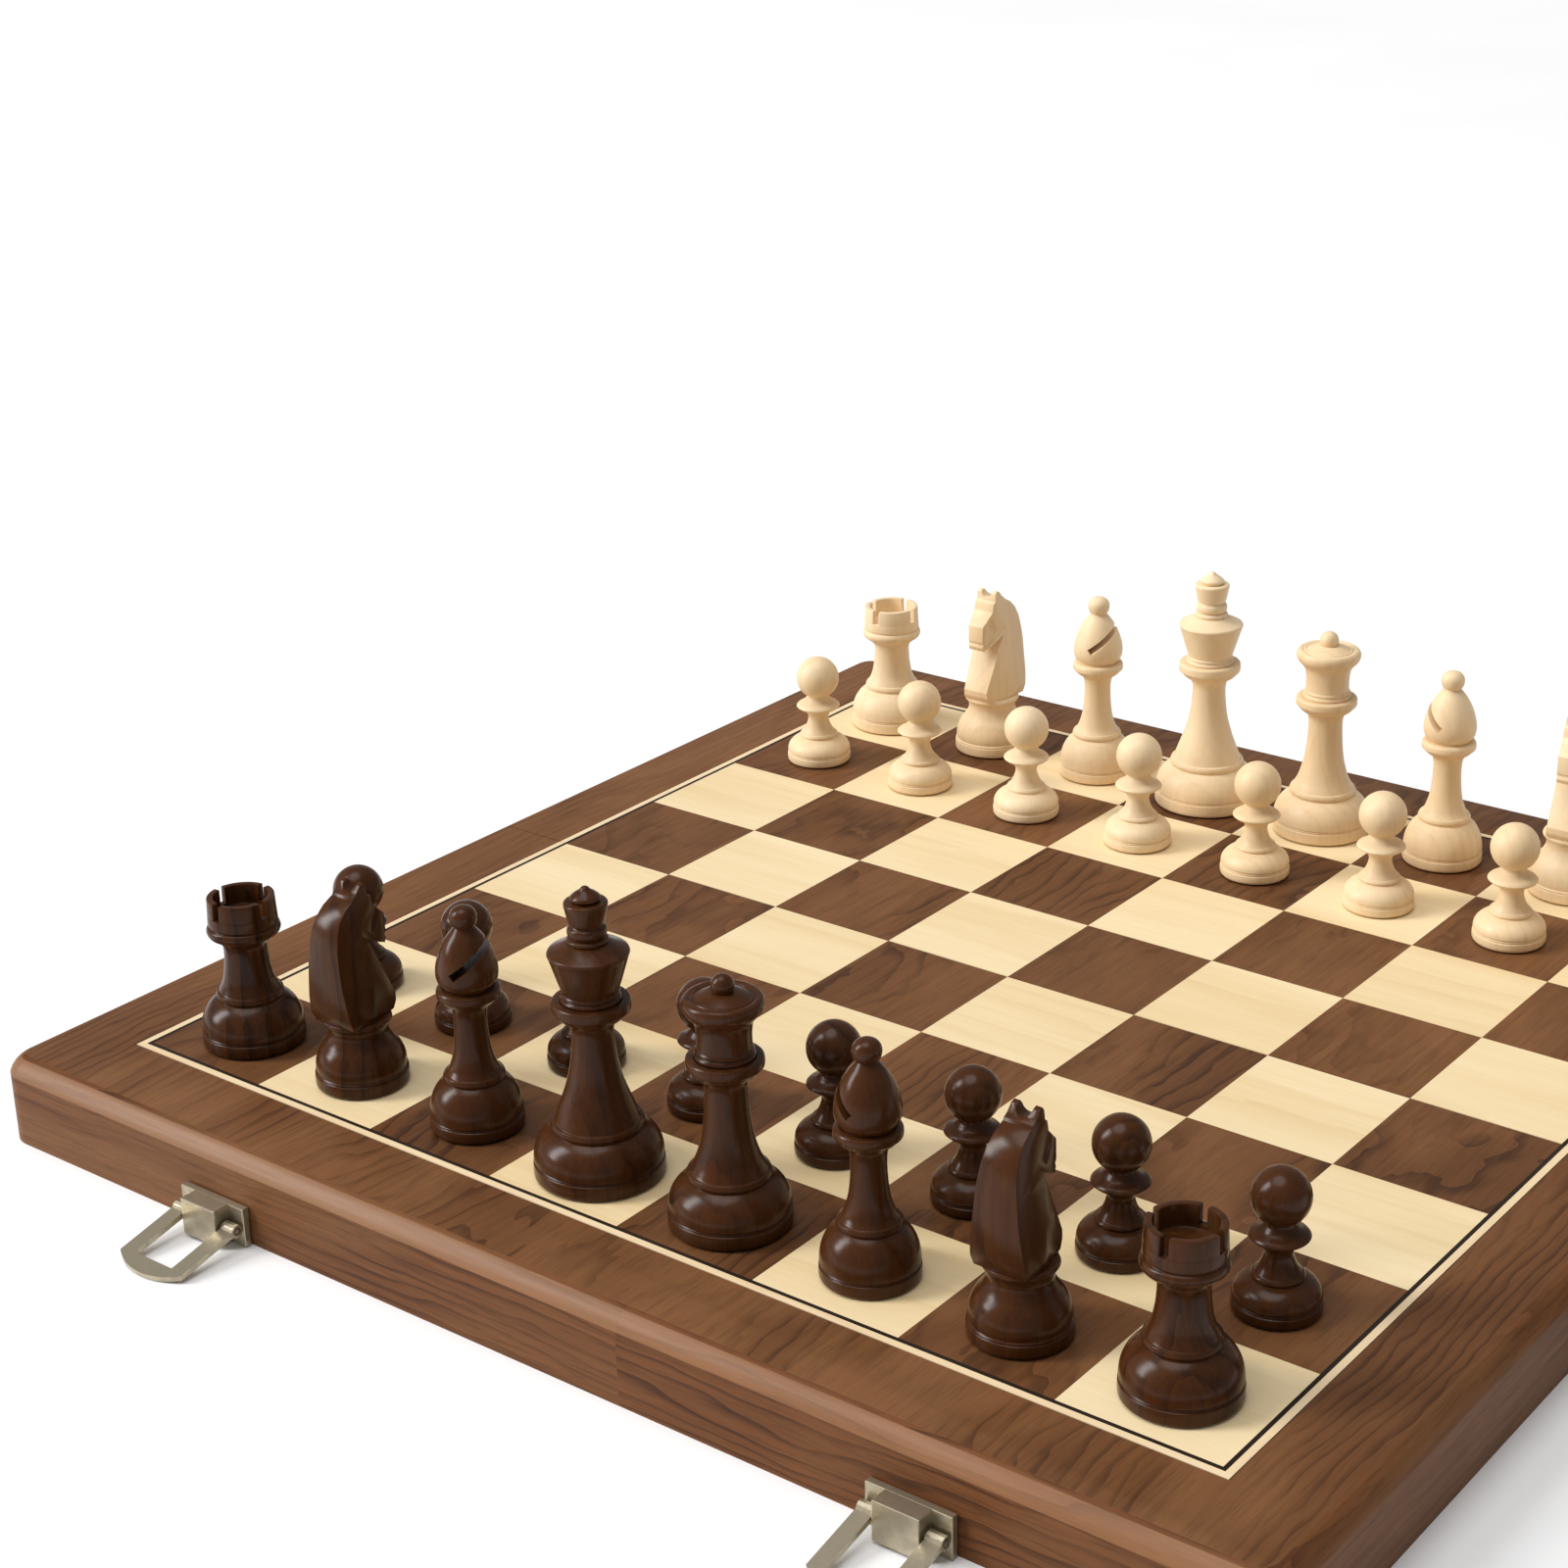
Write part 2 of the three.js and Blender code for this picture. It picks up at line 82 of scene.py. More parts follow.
class Recipe:
    """A material being mixed: one Principled shader and the nodes that feed it."""

    def __init__(self, name: str) -> None:
        """Starts an empty material.

        Args:
            name: Name of the finish.
        """
        self.material = bpy.data.materials.new(name)
        self.material.use_nodes = True
        self.tree = self.material.node_tree
        self.tree.nodes.clear()
        output = self.tree.nodes.new("ShaderNodeOutputMaterial")
        self.shader = self.tree.nodes.new("ShaderNodeBsdfPrincipled")
        self.tree.links.new(self.shader.outputs["BSDF"], output.inputs["Surface"])
        self.object_space = self.tree.nodes.new("ShaderNodeTexCoord").outputs["Object"]

    def set(self, **settings: Setting) -> None:
        """Sets or feeds inputs of the shader, with underscores for spaces in their names."""
        self._fill(self.shader, {name.replace("_", " "): value for name, value in settings.items()})

    def _fill(self, node: bpy.types.Node, inputs: dict[str | int, Setting]) -> None:
        """Links each socket and sets each plain value on a node's inputs.

        Args:
            node: The node to feed.
            inputs: Value or socket for each input, by its name or number.
        """
        for key, value in inputs.items():
            if isinstance(value, bpy.types.NodeSocket):
                self.tree.links.new(value, node.inputs[key])
            else:
                node.inputs[key].default_value = value

    def add(self, kind: str, inputs: dict[str | int, Setting], **settings: object) -> bpy.types.Node:
        """Adds a node.

        Args:
            kind: The node's type, without its ShaderNode prefix.
            inputs: Values or sockets for its inputs.
            settings: Properties of the node itself.

        Returns:
            The node.
        """
        node = self.tree.nodes.new("ShaderNode" + kind)
        for key, value in settings.items():
            setattr(node, key, value)
        self._fill(node, inputs)
        return node

    def placed(self, vector: Setting, scale: Sequence[float], shift: Sequence[float] = (0, 0, 0),
               turn: Sequence[float] = (0, 0, 0)) -> bpy.types.NodeSocket:
        """Scales, turns and shifts a vector.

        Args:
            vector: The vector to change.
            scale: Scale on each axis.
            shift: Shift on each axis, in metres.
            turn: Turn about each axis, in degrees.

        Returns:
            The changed vector.
        """
        mapping = self.add("Mapping", {
            "Vector": vector, "Scale": tuple(scale), "Location": tuple(shift),
            "Rotation": tuple(math.radians(angle) for angle in turn),
        })
        return mapping.outputs["Vector"]

    def noise(self, vector: Setting, scale: float, detail: float = 4, roughness: float = 0.5,
              distortion: float = 0) -> bpy.types.NodeSocket:
        """Adds a noise pattern.

        Args:
            vector: The place it is read at.
            scale: Its scale, in spots to the metre.
            detail: Number of finer layers.
            roughness: Weight of the finer layers.
            distortion: Amount of swirl.

        Returns:
            A value between 0 and 1, around 0.5.
        """
        node = self.add("TexNoise", {
            "Vector": vector, "Scale": scale, "Detail": detail, "Roughness": roughness,
            "Distortion": distortion,
        })
        return node.outputs["Fac"]

    def math(self, operation: str, *values: Setting) -> bpy.types.NodeSocket:
        """Gives the result of a Math node."""
        return self.add("Math", dict(enumerate(values)), operation=operation).outputs["Value"]

    def spread(self, value: Setting, low: float, high: float, to_low: float = 0,
               to_high: float = 1) -> bpy.types.NodeSocket:
        """Maps a value smoothly from one range to another.

        Args:
            value: The value to map.
            low: Start of its range.
            high: End of its range.
            to_low: Result at the start.
            to_high: Result at the end.

        Returns:
            The mapped value.
        """
        node = self.add("MapRange", {
            "Value": value, "From Min": low, "From Max": high, "To Min": to_low, "To Max": to_high,
        }, interpolation_type="SMOOTHSTEP")
        return node.outputs["Result"]

    def blend(self, share: Setting, first: Setting, second: Setting) -> bpy.types.NodeSocket:
        """Mixes two colours.

        Args:
            share: Share of the second colour.
            first: The first colour.
            second: The second colour.

        Returns:
            The mixed colour.
        """
        node = self.add("Mix", {}, data_type="RGBA")
        first, second = (colour if isinstance(colour, bpy.types.NodeSocket) else (*colour, 1)
                         for colour in (first, second))
        self._fill(node, {0: share, 6: first, 7: second})
        return node.outputs[2]

    def relief(self, height: Setting, depth: float, strength: float = 1) -> None:
        """Raises the surface by a height pattern.

        Args:
            height: The pattern, from 0 to 1.
            depth: Its depth in metres.
            strength: Share of the effect.
        """
        bump = self.add("Bump", {"Height": height, "Distance": depth, "Strength": strength})
        self.set(Normal=bump.outputs["Normal"])


@dataclass(frozen=True)
class Timber:
    """A timber and its lacquer.

    The width of a growth ring and the length of a stave are in millimetres. Shares run from 0 to 1.
    """

    name: str
    early: Colour
    late: Colour
    warm: Colour
    ring: float = 7.0
    wobble: float = 9.0
    curl: float = 1.6
    stretch: float = 0.16
    bend: float = 0.02
    figure: float = 0.3
    fibre: float = 0.4
    fibre_scale: float = 620
    drift: float = 0.2
    pores: float = 0.3
    pore_scale: float = 1700
    leaf_spread: float = 0.25
    gloss: tuple[float, float] = (0.36, 0.5)
    shine: float = 0.35
    grain_relief: float = 0.5
    stave: float = 0.0

    def material(self, grain: Grain, tiled: bool = False) -> bpy.types.Material:
        """Mixes the finish for one grain direction.

        Args:
            grain: The axis of the fibres.
            tiled: True where each leaf of veneer carries its own shift in the attribute "leaf".

        Returns:
            The material.
        """
        mix = Recipe(f"{self.name}_{grain.name.lower()}{'_tiled' if tiled else ''}")
        space = mix.object_space
        if tiled:
            leaf = mix.add("Attribute", {}, attribute_name="leaf").outputs["Vector"]
            space = mix.add("VectorMath", {0: space, 1: leaf}, operation="ADD").outputs["Vector"]
        if self.stave:
            space = self._staves(mix, space, grain)
        figure = mix.placed(space, grain.stretch(self.stretch), shift=(0.011, 0.017, 0.033), turn=(3, 4, 2))
        bend = mix.add("TexNoise", {"Vector": figure, "Scale": 17, "Detail": 2}).outputs["Color"]
        bent = mix.add("VectorMath", {0: bend, 1: (self.bend,) * 3, 2: figure},
                       operation="MULTIPLY_ADD").outputs["Vector"]
        rings = mix.add("TexWave", {
            "Vector": bent, "Scale": RING_SCALE / (self.ring * MM), "Distortion": self.wobble,
            "Detail": 3, "Detail Scale": self.curl, "Detail Roughness": 0.6,
        }, wave_type="RINGS", rings_direction="XYZ"[grain.value], wave_profile="SAW").outputs["Fac"]
        drift = mix.noise(bent, 26, detail=3, distortion=0.8)
        fibres = mix.noise(mix.placed(space, grain.stretch(0.035)), self.fibre_scale, detail=6, roughness=0.7)
        pore_lines = mix.noise(mix.placed(space, grain.stretch(0.05)), self.pore_scale, detail=2)
        lines = mix.math("MULTIPLY", mix.spread(rings, 0.5, 1.0), mix.spread(drift, 0.36, 0.62, 0.1, 1))
        dark = mix.math("MULTIPLY", lines, self.figure)
        dark = mix.math("ADD", dark, mix.spread(fibres, 0.25, 0.8, 0, self.fibre))
        dark = mix.math("ADD", dark, mix.spread(drift, 0.3, 0.7, 0, self.drift))
        if tiled:
            tone = mix.add("TexWhiteNoise", {"Vector": leaf}).outputs["Value"]
            dark = mix.math("ADD", dark, mix.math("MULTIPLY", tone, self.leaf_spread))
        colour = mix.blend(mix.spread(drift, 0.35, 0.65), self.early, self.warm)
        colour = mix.blend(dark, colour, self.late)
        pores = mix.spread(pore_lines, 0.55, 0.68, 0, self.pores)
        colour = mix.blend(pores, colour, self.late)
        mix.set(Base_Color=colour, Roughness=mix.spread(fibres, 0.3, 0.7, *self.gloss))
        mix.set(Specular_IOR_Level=self.shine)
        mix.relief(mix.math("SUBTRACT", mix.math("MULTIPLY", fibres, 0.6), pores), 0.00005, self.grain_relief)
        return mix.material

    def _staves(self, mix: Recipe, space: Setting, grain: Grain) -> bpy.types.NodeSocket:
        """Gives each stave of a jointed rail its own stretch of timber.

        Args:
            mix: The material being mixed.
            space: The place on the rail.
            grain: The axis of the rail.

        Returns:
            The place that the pattern is read at.
        """
        split = mix.add("SeparateXYZ", {0: space})
        count = mix.math("FLOOR", mix.math("DIVIDE", split.outputs[grain.value], self.stave * MM))
        cast = mix.add("TexWhiteNoise", {"W": count}, noise_dimensions="1D").outputs["Color"]
        return mix.add("VectorMath", {0: space, 1: cast}, operation="ADD").outputs["Vector"]


@dataclass(frozen=True)
class SatinMetal:
    """A plated metal, tumbled to a satin surface."""

    name: str
    bright: Colour
    dull: Colour
    gloss: tuple[float, float] = (0.24, 0.4)

    def material(self) -> bpy.types.Material:
        """Mixes the finish."""
        mix = Recipe(self.name)
        cloud = mix.noise(mix.object_space, 260, detail=5, roughness=0.6)
        grit = mix.noise(mix.object_space, 2600, detail=3)
        mix.set(Base_Color=mix.blend(mix.spread(cloud, 0.3, 0.7), self.bright, self.dull))
        mix.set(Metallic=0.85, Roughness=mix.spread(cloud, 0.3, 0.7, *self.gloss))
        mix.relief(grit, 0.00004, 0.6)
        return mix.material


@dataclass(frozen=True)
class Nap:
    """A short-haired cloth: flock or felt."""

    name: str
    shade: Colour
    tip: Colour
    hair: float = 0.35
    sheen: float = 0.3

    def material(self) -> bpy.types.Material:
        """Mixes the finish."""
        mix = Recipe(self.name)
        hairs = mix.noise(mix.object_space, 0.7 / (self.hair * MM), detail=3, roughness=0.7)
        patches = mix.noise(mix.object_space, 60, detail=3)
        share = mix.math("ADD", mix.math("MULTIPLY", hairs, 0.7), mix.math("MULTIPLY", patches, 0.3))
        mix.set(Base_Color=mix.blend(mix.spread(share, 0.35, 0.65), self.shade, self.tip))
        mix.set(Roughness=mix.spread(hairs, 0.3, 0.7, 0.85, 1.0))
        mix.set(Sheen_Weight=self.sheen, Sheen_Roughness=0.5)
        mix.relief(hairs, 0.00015, 0.8)
        return mix.material


@dataclass(frozen=True)
class Ply:
    """The edge of a thin plywood panel, in level layers."""

    name: str = "ply_core"
    pale: Colour = (0.42, 0.29, 0.17)
    brown: Colour = (0.23, 0.14, 0.08)

    def material(self) -> bpy.types.Material:
        """Mixes the finish."""
        mix = Recipe(self.name)
        layers = mix.add("TexWave", {"Vector": mix.object_space, "Scale": 240, "Distortion": 0.4},
                         wave_type="BANDS", bands_direction="Z").outputs["Fac"]
        fibres = mix.noise(mix.placed(mix.object_space, (0.05, 1, 1)), 900)
        mix.set(Base_Color=mix.blend(mix.spread(layers, 0.35, 0.65), self.pale, self.brown))
        mix.set(Roughness=mix.spread(fibres, 0.3, 0.7, 0.6, 0.8))
        mix.relief(fibres, 0.00005, 0.6)
        return mix.material


WALNUT = Timber(
    "walnut", (0.222, 0.096, 0.036), (0.044, 0.017, 0.0075), (0.205, 0.082, 0.028),
    ring=3.4, wobble=11, curl=0.5, stretch=0.42, bend=0.03, figure=0.38, fibre=0.25, drift=0.3, pores=0.24,
    leaf_spread=0.2, gloss=(0.4, 0.52), shine=0.18)
WALNUT_RAIL = Timber(
    "walnut_rail", (0.205, 0.088, 0.034), (0.038, 0.015, 0.007), (0.225, 0.082, 0.027),
    ring=3.6, wobble=13, curl=0.6, bend=0.03, stretch=0.2, figure=0.42, fibre=0.34, drift=0.28, pores=0.3,
    gloss=(0.4, 0.5), shine=0.12, stave=214)
# Painted highlight: a lighter walnut for the rounded upper edge along X, standing in for the key light's
# reflection on it.
WALNUT_HIGHLIGHT_EDGE = Timber(
    "walnut_highlight_edge", (0.265, 0.125, 0.054), (0.120, 0.051, 0.021), (0.285, 0.125, 0.050),
    ring=3.6, wobble=13, curl=0.6, stretch=0.2, figure=0.24, fibre=0.3, pores=0.15,
    gloss=(0.4, 0.48), shine=0.24, grain_relief=0.25, stave=214)
MAPLE = Timber(
    "maple", (0.90, 0.735, 0.46), (0.66, 0.44, 0.19), (0.86, 0.68, 0.40),
    ring=6, wobble=4, stretch=0.12, figure=0.2, fibre=0.2, drift=0.08, pores=0.05, leaf_spread=0.1,
    gloss=(0.38, 0.46))
PALE_LINE = Timber(
    "pale_line", (0.90, 0.72, 0.47), (0.66, 0.46, 0.26), (0.88, 0.68, 0.42), pores=0.08, fibre=0.25)
DARK_LINE = Timber(
    "dark_line", (0.030, 0.018, 0.011), (0.010, 0.007, 0.005), (0.025, 0.015, 0.009), shine=0.15)
STAINED = Timber(
    "stained_beech", (0.068, 0.0222, 0.0062), (0.016, 0.0055, 0.0025), (0.108, 0.0355, 0.0085),
    ring=5, wobble=5, stretch=0.2, bend=0.008, figure=0.28, fibre=0.34, drift=0.44, pores=0.2,
    gloss=(0.2, 0.27), shine=0.18, grain_relief=0.16)
BOXWOOD = Timber(
    "boxwood", (0.90, 0.71, 0.46), (0.68, 0.46, 0.24), (0.88, 0.66, 0.40),
    ring=3.4, wobble=4, stretch=0.14, bend=0.006, figure=0.2, fibre=0.24, drift=0.1, pores=0.05,
    gloss=(0.40, 0.5), grain_relief=0.2)
NICKEL = SatinMetal("champagne_nickel", (0.52, 0.455, 0.33), (0.38, 0.33, 0.24), gloss=(0.28, 0.42))
BRASS = SatinMetal("hinge_brass", (0.72, 0.52, 0.24), (0.52, 0.36, 0.16))
FLOCK = Nap("black_flock", (0.006, 0.006, 0.007), (0.02, 0.02, 0.022), sheen=0.15)
FELT = Nap("green_felt", (0.012, 0.085, 0.012), (0.035, 0.19, 0.03), hair=0.5)
PLY = Ply()


# ---------------------------------------------------------------- shaping


def piece(name: str, bm: bmesh.types.BMesh, materials: Sequence[bpy.types.Material],
          crease: float = 35) -> bpy.types.Object:
    """Makes an object of a finished mesh.

    Args:
        name: Name of the piece.
        bm: The shape, in metres and in place. It is freed.
        materials: Its finishes, in the order that the faces name them.
        crease: Angle in degrees above which an edge looks sharp.

    Returns:
        The object.
    """
    mesh = bpy.data.meshes.new(name)
    bm.to_mesh(mesh)
    bm.free()
    for material in materials:
        mesh.materials.append(material)
    mesh.shade_smooth()
    mesh.set_sharp_from_angle(angle=math.radians(crease))
    made = bpy.data.objects.new(name, mesh)
    bpy.context.scene.collection.objects.link(made)
    return made


def settle(made: bpy.types.Object, body: str, slot: str, *nodes: str) -> None:
    """Puts a piece on its body, in place of the nodes it stands for.

    Args:
        made: The piece.
        body: The body that it moves with.
        slot: Its material slot; not used.
        nodes: The nodes that it replaces, if any.
    """
    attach(made, body)
    if nodes:
        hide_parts(*nodes)
    LOG.info("%s: %d faces on %s", made.name, len(made.data.polygons), body)


def block(bm: bmesh.types.BMesh, low: Sequence[float], high: Sequence[float]) -> list[bmesh.types.BMVert]:
    """Adds a box between two corners.

    Args:
        bm: The shape that it is added to.
        low: Its lowest corner.
        high: Its highest corner.

    Returns:
        Its vertices.
    """
    size = Vector(high) - Vector(low)
    middle = (Vector(high) + Vector(low)) / 2
    matrix = Matrix.Translation(middle) @ Matrix.Diagonal((*size, 1))
    return bmesh.ops.create_cube(bm, size=1, matrix=matrix)["verts"]


def join(bm: bmesh.types.BMesh, part: bmesh.types.BMesh) -> None:
    """Puts one shape into another.

    Args:
        bm: The shape that grows.
        part: The shape that is put in. It is freed.
    """
    mesh = bpy.data.meshes.new("part")
    part.to_mesh(mesh)
    part.free()
    bm.from_mesh(mesh)
    bpy.data.meshes.remove(mesh)


def heal(bm: bmesh.types.BMesh, reach: float = 1e-6) -> None:
    """Merges doubled points and turns every face outwards."""
    bmesh.ops.remove_doubles(bm, verts=bm.verts, dist=reach)
    bmesh.ops.recalc_face_normals(bm, faces=bm.faces)


def ease(bm: bmesh.types.BMesh, edges: Iterable[bmesh.types.BMEdge], width: float,
         segments: int = 2) -> None:
    """Rounds edges off.

    Args:
        bm: The shape.
        edges: The edges to round.
        width: Width of the rounding in metres.
        segments: Number of steps in it.
    """
    bmesh.ops.bevel(bm, geom=list(edges), offset=width, offset_type="OFFSET", affect="EDGES",
                    segments=segments, profile=0.5, material=-1, clamp_overlap=True)


def sharp_edges(bm: bmesh.types.BMesh, above: float = 40) -> list[bmesh.types.BMEdge]:
    """Finds the edges that turn by more than an angle.

    Args:
        bm: The shape.
        above: The angle in degrees.

    Returns:
        The edges.
    """
    limit = math.radians(above)
    return [edge for edge in bm.edges if len(edge.link_faces) == 2 and edge.calc_face_angle(0) > limit]


def carved(bm: bmesh.types.BMesh, cutters: Sequence[bmesh.types.BMesh]) -> bmesh.types.BMesh:
    """Cuts other shapes out of a shape.

    Args:
        bm: The shape. It is freed.
        cutters: Closed shapes to take away. They are freed.

    Returns:
        What is left.
    """
    blank = piece("blank", bm, [])
    tools = [piece("cutter", cutter, []) for cutter in cutters]
    for tool in tools:
        cut = blank.modifiers.new("cut", "BOOLEAN")
        cut.operation = "DIFFERENCE"
        cut.solver = "EXACT"
        cut.object = tool
    bpy.context.view_layer.update()
    left = bmesh.new()
    left.from_object(blank, bpy.context.evaluated_depsgraph_get())
    for used in [blank, *tools]:
        mesh = used.data
        bpy.data.objects.remove(used)
        bpy.data.meshes.remove(mesh)
    return left


# ---------------------------------------------------------------- turning


@dataclass(frozen=True)
class Turn:
    """One point of a turned outline, in millimetres: a crisp one is a corner."""

    radius: float
    height: float
    crisp: bool = False


def soft(radius: float, height: float) -> Turn:
    """A point that the outline flows through."""
    return Turn(radius, height)


def crisp(radius: float, height: float) -> Turn:
    """A point where the outline turns a corner."""
    return Turn(radius, height, True)


def ball(radius: float, middle: float, start: float) -> list[Turn]:
    """A ball on top of an outline, in millimetres.

    Args:
        radius: Radius of the ball.
        middle: Height of its centre.
        start: Angle in degrees below its waist where it rises from what carries it.

    Returns:
        The points, up to the pole.
    """
    steps = 9
    angles = [math.radians(-start + step * (90 + start) / steps) for step in range(steps)]
    first, *others = [(radius * math.cos(angle), middle + radius * math.sin(angle)) for angle in angles]
    return [crisp(*first), *(soft(*point) for point in others), crisp(0, middle + radius)]


@dataclass(frozen=True)
class Drum:
    """The drum at the bottom of every man's foot, with a thin bead on it. In millimetres."""

    radius: float
    height: float
    felt: float = 0.4

    def turns(self) -> list[Turn]:
        """Gives the outline, from the felt up to the top of the bead."""
        r, h = self.radius, self.height
        return [
            crisp(0, self.felt), crisp(r - 0.3, self.felt), soft(r - 0.05, self.felt + 0.5),
            soft(r, h / 2 + 0.5), crisp(r - 0.05, h), crisp(r - 0.42, h + 0.22), soft(r - 0.18, h + 0.5),
            crisp(r - 0.42, h + 0.8),
        ]


@dataclass(frozen=True)
class Dome:
    """The dome above a drum, and the ring round the stem where it ends. In millimetres."""

    top: float
    ring: float
    ring_height: float
    bead: float = 1.2
    inset: float = 0.15
    steps: int = 6

    def turns(self, drum: Drum) -> list[Turn]:
        """Draws the dome, part of an ellipse that steepens towards the bead, and its ring.

        Args:
            drum: The drum under it.

        Returns:
            The outline, from the bead up to the top of the ring.
        """
        foot = drum.height + self.bead
        lift = self.top - foot
        reach, share = lift * 1.12, 0.45
        wide = drum.radius - self.inset
        core = (self.ring - 0.3 - share * wide) / (1 - share)
        rises = [lift * math.sin(math.radians(90 * step / self.steps)) for step in range(self.steps + 1)]
        first, *middle, last = [
            (core + (wide - core) * math.sqrt(1 - (rise / reach) ** 2), foot + rise) for rise in rises]
        return [
            crisp(first[0] - 0.1, first[1] - 0.15), soft(*first), *(soft(*point) for point in middle),
            crisp(*last), crisp(self.ring - 0.25, self.top + 0.05),
            soft(self.ring, self.top + self.ring_height / 2),
            crisp(self.ring - 0.35, self.top + self.ring_height),
        ]


def flowing(turns: Sequence[Turn], steps: int = 5, ease_by: float = 0.16) -> list[tuple[float, float]]:
    """Draws a turned outline: curves through its soft points and slightly eased corners.

    Args:
        turns: The outline's points.
        steps: Steps from one soft point to the next.
        ease_by: Width of the easing on each corner, in millimetres.

    Returns:
        The radius and height of each point.
    """
    corners = [i for i, turn in enumerate(turns) if turn.crisp]
    points: list[tuple[Vector, bool]] = []
    for first, last in zip(corners, corners[1:]):
        run = [Vector((turn.radius, turn.height)) for turn in turns[first:last + 1]]
        points.append((run[0], True))
        if len(run) == 2:
            continue
        padded = [run[0] * 2 - run[1], *run, run[-1] * 2 - run[-2]]
        for k in range(1, len(padded) - 2):
            a, b, c, d = padded[k - 1:k + 3]
            for step in range(1 if k == 1 else 0, steps):
                t = step / steps
                square, cube = a * 2 - b * 5 + c * 4 - d, b * 3 - a - c * 3 + d
                points.append(((b * 2 + (c - a) * t + square * t * t + cube * t ** 3) / 2, False))
    end = turns[corners[-1]]
    points.append((Vector((end.radius, end.height)), True))
    drawn = []
    for k, (point, corner) in enumerate(points):
        if not corner or k in (0, len(points) - 1) or point.x < 1e-6:
            drawn.append(point)
            continue
        before, after = points[k - 1][0] - point, points[k + 1][0] - point
        near = min(ease_by, before.length * 0.4, after.length * 0.4)
        enter, leave = point + before.normalized() * near, point + after.normalized() * near
        drawn += [enter, (enter + leave + point * 2) / 4, leave]
    return [(max(0.0, point.x), point.y) for point in drawn]


def spun(outline: Sequence[tuple[float, float]], sides: int = 72) -> bmesh.types.BMesh:
    """Spins an outline about the upright axis.

    Args:
        outline: Radius and height of each point, in millimetres.
        sides: Steps in a full turn.

    Returns:
        The turned shape, in metres.
    """
    bm = bmesh.new()
    verts = [bm.verts.new((radius * MM, 0, height * MM)) for radius, height in outline]
    edges = [bm.edges.new(pair) for pair in zip(verts, verts[1:])]
    bmesh.ops.spin(bm, geom=[*verts, *edges], cent=(0, 0, 0), axis=(0, 0, 1), dvec=(0, 0, 0),
                   angle=math.tau, steps=sides, use_merge=True, use_duplicate=False)
    heal(bm)
    return bm


class Kind(Enum):
    """The kinds of chessman."""

    KING = "king"
    QUEEN = "queen"
    BISHOP = "bishop"
    KNIGHT = "knight"
    ROOK = "rook"
    PAWN = "pawn"


class Side(Enum):
    """The two armies, by the word in their names."""

    DARK = "dark"
    LIGHT = "light"


DRUMS = {
    Kind.KING: Drum(15.7, 3.9), Kind.QUEEN: Drum(14.5, 3.7), Kind.BISHOP: Drum(11.6, 3.2),
    Kind.KNIGHT: Drum(11.8, 3.4), Kind.ROOK: Drum(13.3, 3.6), Kind.PAWN: Drum(10.1, 2.7),
}

# A knight has no dome of this kind, and his own is part of his stem.
DOMES = {
    Kind.KING: Dome(12.6, 11.2, 1.9), Kind.QUEEN: Dome(12.2, 9.9, 1.8), Kind.BISHOP: Dome(13.1, 7.6, 1.7),
    Kind.ROOK: Dome(12.9, 8.7, 1.8), Kind.PAWN: Dome(8.3, 6.0, 1.2),
}

